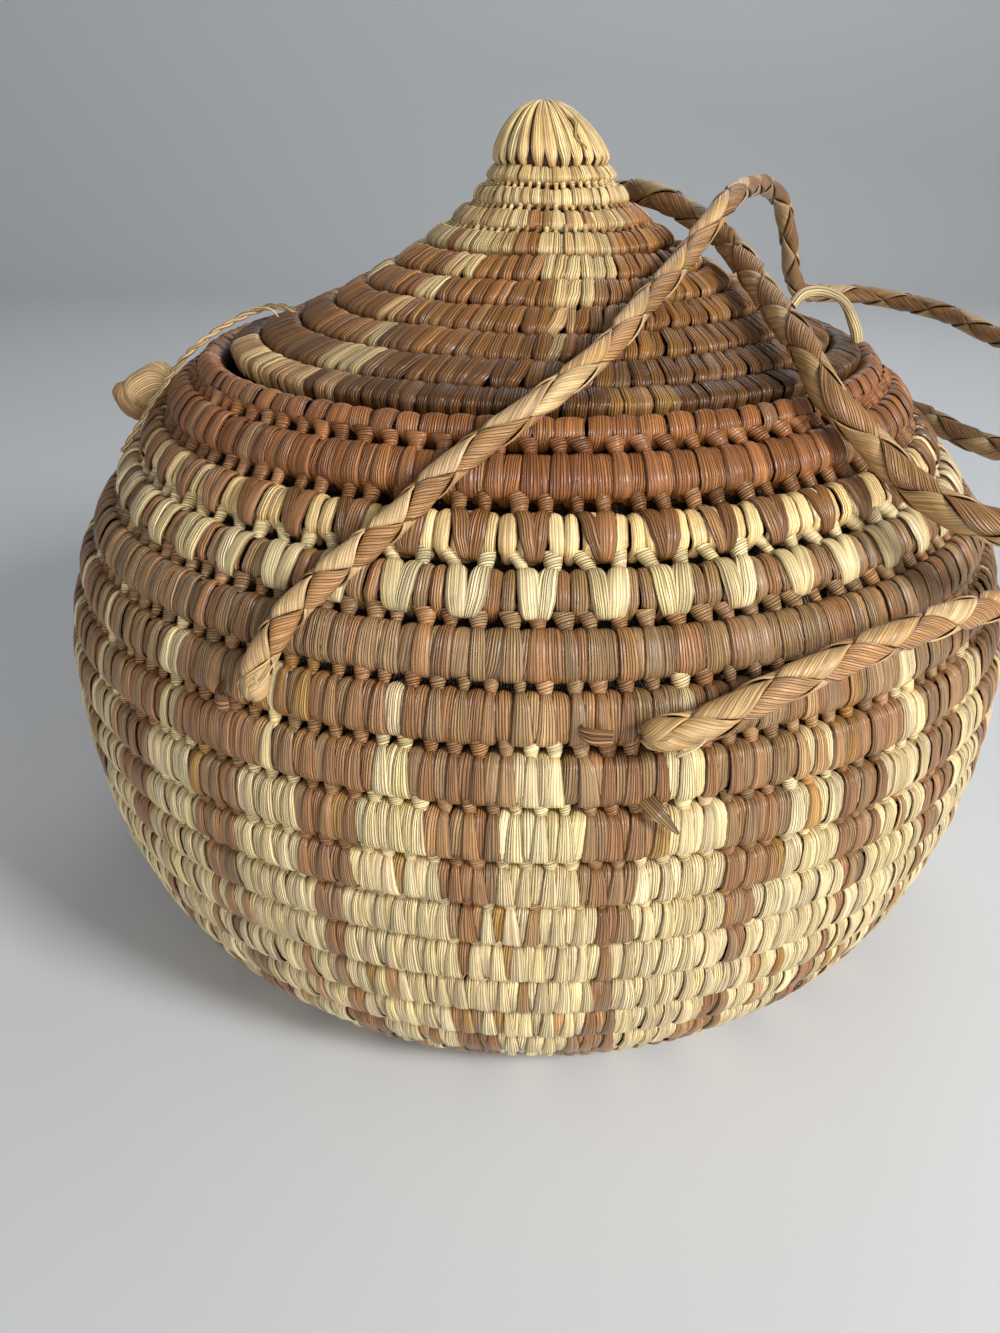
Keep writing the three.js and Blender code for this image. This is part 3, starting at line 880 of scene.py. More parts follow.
    def wrap_places(self, rng: np.random.Generator) -> tuple[np.ndarray, np.ndarray]:
        """Shares the row out among its wraps, as many between two knots as fit there.

        Args:
            rng: The row's random numbers.

        Returns:
            The middle and the half width of each wrap's place in radians, strips on the first of three axes.
        """
        borders = np.concatenate([self.spec.knots, [self.spec.knots[0] + TURN]])
        gaps = np.diff(borders)
        parts = np.maximum(1, np.round(gaps * self.girth / self.spec.wrap_width)).astype(int)
        edges = np.concatenate([border + gap * np.arange(part) / part
                                for border, gap, part in zip(borders, gaps, parts)])
        jitter = WRAPS.edge_jitter
        edges = np.sort(edges + rng.uniform(-jitter, jitter, len(edges)) * np.median(np.diff(edges)))
        following = np.concatenate([edges[1:], [edges[0] + TURN]])
        return ((edges + following) / 2)[:, None, None], ((following - edges) / 2)[:, None, None]

    def seam_shade(self, turn: np.ndarray) -> np.ndarray:
        """How much painted shade the wraps take round the coil, up to 2 where they dive into a seam.

        Args:
            turn: Angles round the section in radians.

        Returns:
            The edge value that LeafMesh takes there.
        """
        angles = (self.spec.seam_shade_from, self.seam_turn, self.fade_turn)
        opening, seam, fade = (math.radians(angle) for angle in angles)
        depth = np.clip((np.abs(turn) - opening) / (seam - opening), 0, 1)
        return 2 * (depth * np.clip((fade - np.abs(turn)) / math.radians(30), 0, 1))

    def turns(self, long: int) -> np.ndarray:
        """Angles round the section, closer together on the face than inside.

        Args:
            long: How many angles.

        Returns:
            The angles in radians, in order round the coil.
        """
        face, half = int(long * 0.76), math.radians(self.face_turn)
        outer = np.linspace(-half, half, face)
        inner = np.linspace(half, math.radians(360 - self.face_turn), long - face + 2)[1:-1]
        inner = np.where(inner > math.pi, inner - TURN, inner)
        return np.concatenate([outer, inner])

    def add_stitches(self, mesh: LeafMesh, rng: np.random.Generator, tone: np.ndarray,
                     seed: np.ndarray) -> None:
        """Adds the long stitches that come down from the knots over this row's face.

        Args:
            mesh: The mesh that takes them.
            rng: The row's random numbers.
            tone: Each stitch's tone.
            seed: Each stitch's own number.
        """
        spec, form = self.spec, self.spec.stitch
        total, wide, long = len(spec.knots), 8, 14
        share = np.linspace(-1, 1, wide)[None, :, None]
        down = np.linspace(0, 1, long)[None, None, :]
        turn = np.radians(form.start_turn + (form.foot_turn - form.start_turn) * down)
        side = (np.arange(total) % 2)[:, None, None]
        aim = form.leans[0] + (form.leans[1] - form.leans[0]) * side
        lean = (aim + rng.normal(0, form.lean_spread, (total, 1, 1))) * down ** 0.85
        lean = lean + form.starts[0] + (form.starts[1] - form.starts[0]) * side
        arc = rng.normal(0, 0.25, (total, 1, 1)) * np.sin(math.pi * down)
        half = np.interp(down, np.linspace(0, 1, len(form.halves)), form.halves)
        half = half * rng.normal(1, form.width_spread, (total, 1, 1)).clip(0.75, 1.25)
        ragged = rng.normal(0, 0.05, (total, wide, long)) * (np.abs(share) > 0.95)
        azimuth = spec.knots[:, None, None] + (share * half + lean + arc + ragged) / self.girth
        lift = spec.bulge * 0.6 + form.proud * (1 - 0.8 * np.abs(share) ** 4) - 0.15
        taper = np.clip(np.minimum(down * 8 + 0.3, (1 - down) * 7), 0, 1)
        lift = lift * taper + (taper - 1) * 1.1 + rng.normal(0, 0.06, (total, 1, 1))
        slide = -form.poke * np.clip(down * 3 - 2, 0, 1) + 0 * azimuth
        shape = azimuth.shape
        points = self.place(azimuth, np.broadcast_to(turn, shape), np.broadcast_to(lift, shape), slide)
        across = share * max(form.halves) + 0 * azimuth + rng.uniform(0, LEAF_BREADTH, (total, 1, 1))
        along = down * spec.half * 3.6 + rng.uniform(0, LEAF_LENGTH, (total, 1, 1)) + 0 * azimuth
        mesh.add(points, across, along, np.abs(share) * 0.97 + 0 * azimuth, tone, seed)

    def add_knots(self, mesh: LeafMesh, rng: np.random.Generator, tone: np.ndarray,
                  seed: np.ndarray) -> None:
        """Adds the bound knots in the gap above this row.

        Args:
            mesh: The mesh that takes them.
            rng: The row's random numbers.
            tone: Each knot's tone.
            seed: Each knot's own number.
        """
        spec, form = self.spec, self.spec.knot
        total, sides, rings = len(spec.knots), 10, 8
        low = spec.high - spec.gap_above / 2 - form.reach_down
        high = spec.high + spec.gap_above / 2 + form.reach_up
        foot, _, out = spec.line.at(low)
        head, _, head_out = spec.line.at(high)
        out = (out + head_out) / np.linalg.norm(out + head_out)
        ring = np.linspace(0, TURN, sides, endpoint=False)[None, None, :]
        down = np.linspace(0, 1, rings)[None, :, None]
        marks = np.linspace(0, 1, len(form.halves))
        size = rng.normal(1, form.width_spread, (total, 1, 1)).clip(0.75, 1.25)
        half = np.interp(down, marks, form.halves) * size
        depth = form.depth * size * (1 - 0.35 * np.abs(2 * down - 0.9) ** 2.2)
        depth = np.minimum(depth, half * 1.05)
        centre = spec.half - form.depth - 1.0 + 0.5 * np.abs(2 * down - 1) ** 2
        away = centre + depth * np.cos(ring)
        slant = rng.normal(1.0, 0.35, (total, 1, 1))
        side = (np.arange(total) % 2)[:, None, None]
        slope = form.slants[0] + (form.slants[1] - form.slants[0]) * side
        beside = half * np.sin(ring) + np.interp(down, marks, form.shifts) * slant + slope * (down - 0.5)
        radius = head[0] + (foot[0] - head[0]) * down + away * out[0]
        height = head[1] + (foot[1] - head[1]) * down + away * out[1]
        azimuth = spec.knots[:, None, None] + beside / (radius + 0 * beside)
        points = self.stand(azimuth, radius + 0 * azimuth, height + 0 * azimuth)
        length = float(np.linalg.norm(head - foot))
        # The knot is bound round and round, so its veins run across it
        across = down * length + 0.3 * beside + rng.uniform(0, LEAF_BREADTH, (total, 1, 1))
        along = half * np.sin(ring) + rng.uniform(0, LEAF_LENGTH, (total, 1, 1)) + 0 * across
        # The knot's ends, where it meets the rows, take the edge dirt and painted shade
        edge = np.clip(1.0 - np.minimum(down, 1 - down) * 5.0, 0, 0.85) + 0 * azimuth
        mesh.add(points, across + 0 * azimuth, along, edge, tone * 0.97, seed, closed=True)


# Knots on the shoulder: degrees from pair to pair, and each paired row's first pair and half its spread
PAIR_STEP = 360 / 52
UPPER_PAIRS = (0.07, 1.5)
LOWER_PAIRS = (0.6, 1.75)
MOUTH_KNOTS = 100
MOUTH_KNOT_PHASE = -0.45


def paired_knots(phase: float, spread: float) -> np.ndarray:
    """Azimuths of knots set in pairs.

    Args:
        phase: The first pair's middle in degrees.
        spread: Half the distance between a pair's knots in degrees.

    Returns:
        The azimuths in radians, the left knot of each pair first.
    """
    rng = np.random.default_rng(int(phase * 100) + 7)
    pairs = int(round(360 / PAIR_STEP))
    middle = phase + PAIR_STEP * (np.arange(pairs) - pairs // 2) + rng.normal(0, 0.12, pairs)
    return np.radians(np.stack([middle - spread, middle + spread], axis=-1).ravel())


def even_knots(count: int, phase: float, seed: int, spread: float = 0.07) -> np.ndarray:
    """Azimuths of knots set one by one.

    Args:
        count: How many go round.
        phase: One knot's azimuth in degrees.
        seed: Number for their small unevenness.
        spread: That unevenness, as a share of the pitch.

    Returns:
        The azimuths in radians.
    """
    rng = np.random.default_rng(300 + seed)
    places = phase + (np.arange(count) - count // 2 + rng.uniform(-spread, spread, count)) * 360 / count
    return np.radians(places)


def tones(kind: Leaf, count: int, rng: np.random.Generator, spread: float = 0.07) -> np.ndarray:
    """Picks a tone for each of several strips.

    Args:
        kind: The leaf they are split from.
        count: How many strips.
        rng: Random numbers.
        spread: How much their lightness varies.

    Returns:
        Linear tones, one row each.
    """
    table = kind.tones()
    pick = rng.integers(0, len(table), count)
    other = rng.integers(0, len(table), count)
    mix = rng.uniform(0, 0.5, count)[:, None]
    tone = table[pick] * (1 - mix) + table[other] * mix
    return tone * np.exp(rng.normal(0, spread, count))[:, None]


def sides_out(count: int, rng: np.random.Generator, smooth: float) -> np.ndarray:
    """Picks which side of the leaf lies out on each of several strips.

    Args:
        count: How many strips.
        rng: Random numbers.
        smooth: The share that show their smooth side.

    Returns:
        One number for each strip: its own whole number, and a part that is small with the smooth side out.
    """
    is_smooth = rng.uniform(0, 1, count) < smooth
    part = np.where(is_smooth, rng.uniform(0.1, 0.25, count), rng.uniform(0.3, 0.95, count))
    return np.floor(rng.uniform(0, STRIP_NUMBERS, count)) + part


@dataclass(frozen=True)
class Wedges:
    """The basket's dyed wedges: their count, where one stands, and how many degrees wide they are by row."""

    count: int = 28
    phase: float = -5.3
    widths: tuple[float, ...] = (10.9, 9.8, 6.3, 5.5, 3.5, 1.6, 1.6, 3.0, 5.0, 6.0, 6.5)
    first_row: int = 6

    def dyed(self, degrees: np.ndarray, row: int) -> np.ndarray:
        """Whether each azimuth on a row lies in a dyed wedge.

        Args:
            degrees: Azimuths in degrees.
            row: The row's number, counted from the mouth.

        Returns:
            True where the leaf is dyed.
        """
        step = 360 / self.count
        away = np.abs((degrees - self.phase + step / 2) % step - step / 2)
        return away < self.widths[row - self.first_row] / 2


WEDGES = Wedges()


def body_colour(row: int, stitch: bool = False) -> ToneRule:
    """The tone rule of one row of the basket.

    Args:
        row: Its number, 1 at the mouth and rising towards the base.
        stitch: Whether the strips are the stitches laid over the row, which come from the row above.

    Returns:
        A function from azimuths in degrees and random numbers to linear tones.
    """

    def rule(degrees: np.ndarray, rng: np.random.Generator) -> np.ndarray:
        """Tones for some strips.

        Args:
            degrees: Their azimuths.
            rng: The row's random numbers.

        Returns:
            Their linear tones, one row each.
        """
        count = len(degrees)
        leaf = {kind: tones(kind, count, rng) for kind in Leaf}
        chance = rng.uniform(0, 1, count)[:, None]
        if stitch and row in (3, 4):
            dark = np.where(chance < 0.7, leaf[Leaf.UMBER], leaf[Leaf.BROWN])
            return dark if row == 3 else leaf[Leaf.CREAM]
        if row <= 2:
            return np.where(chance < 0.95, leaf[Leaf.RUSSET], leaf[Leaf.BROWN]) * (1.12 if row == 1 else 0.96)
        if row == 3:
            return np.where(chance < 0.95, leaf[Leaf.STRAW], leaf[Leaf.HONEY]) * 1.16
        if row == 4:
            return np.where(chance < 0.6, leaf[Leaf.TAUPE], leaf[Leaf.BROWN])
        if row == 5:
            tone = np.where(chance < 0.72, leaf[Leaf.TAUPE], leaf[Leaf.BROWN])
            return np.where(chance > 0.94, leaf[Leaf.TAN], tone)
        if row < WEDGES.first_row + len(WEDGES.widths):
            dyed = WEDGES.dyed(degrees + rng.normal(0, 0.3, count), row)[:, None]
            dark = np.where(chance < 0.6, leaf[Leaf.BROWN], leaf[Leaf.TAUPE])
            dark = np.where(chance > 0.97, leaf[Leaf.HONEY], dark)
            light = np.where(chance > 0.97, leaf[Leaf.HONEY], leaf[Leaf.CREAM] * 1.06)
            light = np.where(chance < 0.05, leaf[Leaf.TAN], light)
            return np.where(dyed, dark, light)
        return np.where(chance < 0.9, leaf[Leaf.CREAM] * 1.12, leaf[Leaf.TAN])

    return rule


@dataclass(frozen=True)
class Ray:
    """One pale ray on the lid: its edges in degrees on each row, the rim's neighbour first."""

    rows: tuple[tuple[float, float], ...]
    kind: Leaf = Leaf.CREAM


# The front ray climbs from a faint trace to a broad patch; the side rays lean as they rise
FRONT_RAY = Ray(((0.0, 0.0), (1.6, 4.8), (0.4, 7.4), (1.0, 14.3), (-3.0, 24.0), (-7.6, 32.2), (-3.5, 48.0)))
LEFT_RAY = Ray(((-45.0, -33.0), (-42.0, -36.5), (-46.0, -39.5), (-41.5, -32.5),
                (-41.5, -26.2), (-46.0, -17.0), (-60.0, -11.2)))
# Degrees between the rays, and how light the lid's dark leaf is on each row from the rim up: partly its own
# tone, and partly painted shade that darkens the rows near the rim
RAY_STEP = 43.5
LID_TONE_AND_SHADE = (0.4, 0.6, 0.76, 0.88, 1.02, 1.08, 1.1, 1.1)


def lid_colour(row: int) -> ToneRule:
    """The tone rule of one row of the lid.

    Args:
        row: Its number, 0 at the rim and rising towards the knob.

    Returns:
        A function from azimuths in degrees and random numbers to linear tones.
    """

    def rule(degrees: np.ndarray, rng: np.random.Generator) -> np.ndarray:
        """Tones for some strips.

        Args:
            degrees: Their azimuths.
            rng: The row's random numbers.

        Returns:
            Their linear tones, one row each.
        """
        count = len(degrees)
        leaf = {kind: tones(kind, count, rng) for kind in Leaf}
        chance = rng.uniform(0, 1, count)[:, None]
        turned = (degrees + 180) % 360 - 180
        if row >= 8:
            return np.where(chance < 0.94, leaf[Leaf.STRAW], leaf[Leaf.TAN])
        # The dark leaf is darkened towards the rim, partly with painted shade
        dark = np.where(chance < 0.85, leaf[Leaf.SMOKED], leaf[Leaf.BROWN]) * LID_TONE_AND_SHADE[row]
        if row == 0:
            pale = ((turned > -76) & (turned < -39))[:, None]
            amber = ((turned > 10) & (turned < 20))[:, None]
            fading = ((turned > -39) & (turned < -31) & (rng.uniform(0, 1, count) < 0.5))[:, None]
            tone = np.where(pale, np.where(chance < 0.5, leaf[Leaf.TAN], leaf[Leaf.STRAW]), dark)
            return np.where(amber, leaf[Leaf.HONEY] * 0.8, np.where(fading, leaf[Leaf.TAN] * 0.8, tone))
        spans = [FRONT_RAY.rows[row - 1], LEFT_RAY.rows[row - 1]]
        spans += [tuple(edge + RAY_STEP * 2 * k for edge in FRONT_RAY.rows[min(row, 6)]) for k in (1, 2, 3)]
        light = np.zeros(count, bool)
        for start, end in spans:
            away = (turned - (start + end) / 2 + 180) % 360 - 180
            light |= np.abs(away) < (end - start) / 2
        if row == 3:
            faint = np.abs(turned - 3.9) < 3.5
            return np.where(faint[:, None], leaf[Leaf.TAN], np.where(light[:, None], leaf[Leaf.TAN], dark))
        pale = np.where(chance < 0.8, leaf[Leaf.STRAW], leaf[Leaf.TAN]) * (0.94 if row > 3 else 0.7)
        return np.where(light[:, None], pale, dark)

    return rule


@dataclass
class BasketBody:
    """The basket from base to mouth. Its rows are counted down from 1 at the mouth."""

    material: bpy.types.Material
    # Millimetres between each row and the next, and from knot to knot above each row from the fifth down
    gaps: tuple[float, ...] = (2.4, 3.6, 2.7, 2.7, 2.2, 2.3, 1.9, 1.7, 1.3, 1.2, 1.1, 1.0, 1.0, 0.9)
    knot_pitches: tuple[float, ...] = (6.2, 6.0, 5.6, 5.4, 5.3, 5.2)
    # The last row of the shoulder, of the wall, with full knots, with finely meshed wraps and with stitches
    shoulder_end: int = 5
    wall_end: int = 15
    full_knots_end: int = 9
    fine_end: int = 16
    sewn_end: int = 17

    def edge(self, row: int) -> float:
        """Length along the centre line at which a row's lower edge lies.

        Args:
            row: The row's number.

        Returns:
            The length in millimetres from the middle of the base.
        """
        saved = sum(by for narrow, by in NARROW_ROWS if row >= narrow)
        return max(0.0, self.line.total - MOUTH_ROW_DROP - (row - 1) * COIL_PITCH + saved)

    def gap(self, row: int) -> float:
        """The gap below a row, or none above the mouth and under the last row."""
        return self.gaps[min(row, len(self.gaps)) - 1] if 0 < row < COIL_ROWS else 0.0

    def node(self, row: int) -> str:
        """The CAD node that a row belongs to.

        Args:
            row: The row's number.

        Returns:
            The node's name.
        """
        if row == 1:
            return "mouth_rim_coil"
        if row <= self.shoulder_end:
            return "shoulder_coil"
        return "wall_coil" if row <= self.wall_end else "base_coil"

    def knots_above(self, row: int) -> np.ndarray:
        """Azimuths of the knots between a row and the one above it.

        Args:
            row: The lower row's number.

        Returns:
            The azimuths in radians.
        """
        if row <= 2:
            return even_knots(MOUTH_KNOTS, MOUTH_KNOT_PHASE, row)
        if row in (3, 4):
            return paired_knots(*(UPPER_PAIRS if row == 3 else LOWER_PAIRS))
        radius = self.line.at(self.edge(row - 1))[0][0] + 3.0
        pitch = self.knot_pitches[min(row - 5, len(self.knot_pitches) - 1)]
        count = max(12, int(round(TURN * radius / pitch)))
        return even_knots(count, 0.7 * row, row, 0.13 if row == 5 else 0.08)

    def spec(self, row: int) -> RowSpec:
        """Says how one row is made.

        Args:
            row: The row's number.

        Returns:
            Everything that CoilRow needs for it.
        """
        mouth, last, brown = row == 1, row == COIL_ROWS, row <= self.shoulder_end
        stitches = {1: None, 2: FLAT_LACE, 3: DARK_VEE, 4: PALE_VEE, 5: FLAT_LACE}
        knots = {1: None, 2: COLLAR, 3: UPRIGHT_COLLAR, 4: SLANTED_COLLAR, 5: FAN_COLLAR}
        knot = knots.get(row, BULB if row <= self.full_knots_end else SMALL_BULB)
        smooth = {1: (0.3, 0.3), 2: (0.3, 0.4), 3: (0.75, 0.2), 4: (0.25, 0.65)}
        sewn = row <= self.sewn_end
        return RowSpec(
            name=f"basket_row_{row:02d}", line=self.line,
            low=1.0 if last else self.edge(row),
            high=self.line.total + MOUTH_HALF if mouth else self.edge(row - 1),
            half=MOUTH_HALF - 0.2 if mouth else COIL_HALF - 0.35,
            gap_below=self.gap(row), gap_above=self.gap(row - 1), knots=self.knots_above(row),
            colour_at=body_colour(row), stitch_colour_at=body_colour(row, stitch=True),
            body="basket", node=self.node(row), slot="brown_leaf" if brown else "cream_leaf",
            wrap_width=4.2 if row in (3, 4) else 6.0,
            stitch=stitches.get(row, LACE) if sewn else None, knot=knot if sewn else None,
            seed=row, fine=row <= self.fine_end,
            bulge=0.45 if mouth else 0.8 if brown else 1.05, smooth=smooth.get(row, (0.25, 0.3)),
        )

    def build(self) -> list[bpy.types.Object]:
        """Builds every row.

        Returns:
            The rows, from the mouth down.
        """
        self.line = wall_line()
        return [CoilRow(self.spec(row)).build(self.material) for row in range(1, COIL_ROWS + 1)]


@dataclass
class LooseEnd:
    """The tapered end of a leaf strip that has worked out of a seam and lies over the row below."""

    material: bpy.types.Material
    # Azimuth in degrees and length along the wall in millimetres of its root and its tip
    start: tuple[float, float] = (10.0, 226.2)
    end: tuple[float, float] = (12.9, 218.0)
    width: float = 4.2
    leaf_length: float = 13.0
    taper: Table = ((0, 0.7), (0.25, 1), (0.8, 0.4), (1, 0.12))

    def build(self) -> bpy.types.Object:
        """Builds the leaf end.

        Returns:
            The leaf end.
        """
        line = wall_line()
        share, side = np.linspace(0, 1, 13)[None, :], np.linspace(-1, 1, 5)[:, None]
        radius = line.at(self.end[1])[0][0] + COIL_HALF
        path = np.array([math.radians(self.end[0] - self.start[0]) * radius, self.end[1] - self.start[1]])
        across = side * looked_up(share, self.taper) * self.width / 2
        heading = path / np.linalg.norm(path)
        azimuth = math.radians(self.start[0]) + (path[0] * share - heading[1] * across) / radius
        length = self.start[1] + path[1] * share + heading[0] * across
        # It comes up out of the seam, lies over the row below with its edges raised, and curls up at the tip
        risen = 4.5 * np.sin(np.clip(share * 1.9, 0, 1) * math.pi / 2)
        lift = 3.4 + risen + 0.35 * side ** 2 + 0.6 * share ** 6
        places = [line.at(float(value)) for value in length.ravel()]
        flat = np.array([place[0] + place[2] * up for place, up in zip(places, lift.ravel())])
        flat = flat.reshape(length.shape + (2,))
        points = round_axis(azimuth, flat[..., 0], flat[..., 1])
        mesh = LeafMesh()
        rng = np.random.default_rng(71)
        edge = 0.75 * np.abs(side) + 0 * share
        mesh.add(points[None], across[None], (share * self.leaf_length + 0 * side)[None], edge[None],
                 tones(Leaf.TAUPE, 1, rng) * 0.8, np.array([3.6]))
        return mesh.build("basket_loose_end", self.material, "basket", (), "brown_leaf")


@dataclass
class Lid:
    """The lid: its rows, counted up from 0 at the rim, and the knob with its radial wrapping."""

    material: bpy.types.Material
    # Millimetres below each row and above the last one, and the width of each row's wraps
    gaps: tuple[float, ...] = (0.0, 0.6, 0.7, 0.8, 0.9, 1.0, 1.6, 2.1, 2.4, 2.5, 2.4)
    wrap_widths: tuple[float, ...] = (3.9, 4.3, 3.9, 3.6, 3.6, 3.6, 3.4, 3.3, 3.1, 3.0)
    # The first row of open petals, below which the wraps lean and overlap
    petals_from: int = 6
    knob_foot_radius: float = 16.9
    knob_top_radius: float = 5.3
    knob_height: float = 13.8
    knob_strips: int = 26

    def edges(self, line: CentreLine) -> list[float]:
        """Lengths at which the lid's rows meet.

        Args:
            line: The lid's centre line.

        Returns:
            The lengths, from the rim's outer edge to the knob.
        """
        narrowing = LID_LAST_PITCH - LID_FIRST_PITCH
        pitches = [LID_FIRST_PITCH + narrowing * row / (LID_ROWS - 1) for row in range(LID_ROWS)]
        scale = line.total / (sum(pitches) - pitches[0] / 2)
        edges = [-pitches[0] * scale / 2]
        for pitch in pitches:
            edges.append(edges[-1] + pitch * scale)
        return edges

    def spec(self, row: int, line: CentreLine, edges: list[float]) -> RowSpec:
        """Says how one row is made.

        Args:
            row: The row's number.
            line: The lid's centre line.
            edges: The lengths at which the rows meet.

        Returns:
            Everything that CoilRow needs for it.
        """
        rim, petals = row == 0, row >= self.petals_from
        leaning = not rim and not petals
        middle = (edges[row] + edges[row + 1]) / 2
        half = LID_RIM_HALF + (LID_TOP_HALF - LID_RIM_HALF) * min(1, max(0, middle / line.total))
        girth = line.at(middle)[0][0] + half
        count = int(round(TURN * girth / self.wrap_widths[row]))
        return RowSpec(
            name=f"lid_row_{row + 1:02d}", line=line, low=0.9 - LID_RIM_HALF if rim else edges[row],
            high=edges[row + 1], half=half - (0.15 if row < 7 else 0.5),
            gap_below=self.gaps[row], gap_above=self.gaps[row + 1],
            knots=even_knots(count, 0.4 * row, 50 + row, 0.1),
            colour_at=lid_colour(row), stitch_colour_at=lid_colour(row),
            body="lid", node="lid_rim_coil" if rim else "lid_cone_coil", slot="brown_leaf",
            wrap_width=self.wrap_widths[row], stitch=PETAL if petals else None,
            knot=POST if petals else None, seed=40 + row, bulge=0.35 if petals else 0.45 if rim else 0.9,
            shingle=0.0 if petals else 0.12 if rim else 0.24, overlap=1.03 if petals else 1.12,
            bow=0.3 if leaning else 0.0, slant=0.75 if leaning else 0.05, square=0.55, slips=True,
            smooth=(0.5, 0.5) if petals else (0.2, 0.2) if rim else (0.25, 0.3),
            seam_shade_from=58.0 if petals else 88.0,
        )

    def build(self) -> list[bpy.types.Object]:
        """Builds the rows and the knob.

        Returns:
            The lid's pieces.
        """
        line = lid_line()
        edges = self.edges(line)
        pieces = [CoilRow(self.spec(row, line, edges)).build(self.material) for row in range(LID_ROWS)]
        return pieces + [self.knob(line)]

    def knob_side(self, rise: np.ndarray) -> np.ndarray:
        """The knob's radius at shares of its height, from the foot up."""
        spread = self.knob_foot_radius - self.knob_top_radius
        return self.knob_top_radius + spread * (1 - rise ** 1.54) ** 0.78

    def knob(self, line: CentreLine) -> bpy.types.Object:
        """Builds the knob from radial strips that climb its sides and fold on to its flat top.

        Args:
            line: The lid's centre line.

        Returns:
            The knob.
        """
        rng = np.random.default_rng(77)
        mesh = LeafMesh()
        foot, _, out = line.at(line.total + SEAM_GAP)
        base = foot[1] + out[1] * LID_TOP_HALF
        rise = np.linspace(0.0, 1.0, 15)
        side = self.knob_side(rise)
        # Each strip comes out from under the foot, climbs the side and closes over the top in a low dome
        radius = np.concatenate([[side[0] - 2.6, side[0] - 0.9], side, [4.0, 2.3, 0.9]])
        height = np.concatenate([[base - 2.6, base - 1.5], base + self.knob_height * rise,
                                 base + self.knob_height + np.array([0.45, 0.65, 0.55])])
        narrow = np.interp(np.arange(len(radius)), [0, 1, 3, 5, 20], [0.5, 0.55, 0.85, 1.0, 1.0])
        total = self.knob_strips
        share = np.linspace(-1, 1, 9)[None, :, None]
        step = TURN / total
        middle = (np.arange(total) + rng.uniform(-0.14, 0.14, total))[:, None, None] * step
        climb = np.linspace(0, 1, len(radius))[None, None, :]
        lean = rng.normal(0, 0.06, (total, 1, 1)) * climb
        azimuth = middle + share * step / 2 * 1.04 * narrow + lean
        lift = 0.8 * (1 - np.abs(share) ** 2.2) - 0.5 + 0.14 * rng.normal(0, 1, (total, 1, 1))
        grown = radius + lift * np.clip(radius / 6, 0, 1)
        raised = height + 0 * azimuth + lift * np.clip(1 - radius / 9, 0, 1)
        points = lid_slip(round_axis(azimuth, grown, raised))
        across = share * 1.8 * (0.35 + 0.65 * radius / radius.max()) + 0 * azimuth
        across = across + rng.uniform(0, LEAF_BREADTH, (total, 1, 1))
        along = climb * 28 + 0 * azimuth + rng.uniform(0, LEAF_LENGTH, (total, 1, 1))
        edge = np.abs(share) + 0 * azimuth
        tone = tones(Leaf.STRAW, total, rng) * 1.16
        mesh.add(points, across, along, edge, tone, rng.uniform(0, STRIP_NUMBERS, total))
        self.add_core(mesh, rng, base)
        self.add_curl(mesh, rng, base)
        return mesh.build("lid_knob_wrap", self.material, "lid", ("lid_knob",), "cream_leaf")

    def add_core(self, mesh: LeafMesh, rng: np.random.Generator, base: float) -> None:
        """Adds the dark core that shows between the feet of the knob's strips.

        Args:
            mesh: The knob's mesh.
            rng: Random numbers.
            base: Height of the knob's foot.
        """
        ring = np.linspace(0, TURN, 40, endpoint=False)
        radius = np.array([8.0, self.knob_foot_radius - 2.4, self.knob_foot_radius - 1.6, 13.0, 11.0])
        height = base + np.array([-3.4, -3.2, 1.0, 5.0, 9.0])
        azimuth = ring[None, :, None] + 0 * radius[None, None, :]
        points = round_axis(azimuth, radius, height)
        points = np.concatenate([points, points[:, :1]], axis=1)
        size = points.shape[:3]
        across = np.broadcast_to(np.linspace(0, 80, size[1])[None, :, None], size)
        along = np.broadcast_to(height[None, None, :], size)
        tone = tones(Leaf.BROWN, 1, rng) * 0.8
        mesh.add(lid_slip(points), across, along, np.ones(size) * 0.9, tone, np.array([3.0]))

    def add_curl(self, mesh: LeafMesh, rng: np.random.Generator, base: float) -> None:
        """Adds the curl of loose leaf that hangs on the knob's side.

        Args:
            mesh: The knob's mesh.
            rng: Random numbers.
            base: Height of the knob's foot.
        """
        fall = np.linspace(0, 1, 26)
        azimuth = math.radians(33) + 0.1 * np.sin(fall * 7.5) * (1 - 0.4 * fall)
        rise = 0.78 - 0.6 * fall
        radius = self.knob_side(rise) + 0.7 + 0.7 * np.sin(fall * 9) ** 2
        path = round_axis(azimuth, radius, base + self.knob_height * rise)
        tone = tones(Leaf.STRAW, 1, rng) * 0.85
        mesh.add_tube(lid_slip(path), 0.55 - 0.25 * fall, 7, 0.0, tone, np.array([7.5]))


def smooth_route(route: tuple, spacing: float) -> np.ndarray:
    """A smooth curve through a route's points, at even spacing.

    Args:
        route: Points in millimetres.
        spacing: Distance between the points returned.

    Returns:
        The points, one row each.
    """
    points = np.asarray(route, float)
    ghost = np.vstack([2 * points[0] - points[1], points, 2 * points[-1] - points[-2]])
    out = []
    t = np.linspace(0, 1, 24, endpoint=False)[:, None]
    for i in range(1, len(ghost) - 2):
        a, b, c, d = ghost[i - 1:i + 3]
        out.append(0.5 * (2 * b + (c - a) * t + (2 * a - 5 * b + 4 * c - d) * t ** 2
                          + (3 * b - a - 3 * c + d) * t ** 3))
    dense = np.vstack(out + [points[-1:]])
    lengths = run_lengths(dense)
    count = max(3, int(round(lengths[-1] / spacing)) + 1)
    even = np.linspace(0, lengths[-1], count)
    return np.stack([np.interp(even, lengths, dense[:, i]) for i in range(3)], axis=-1)


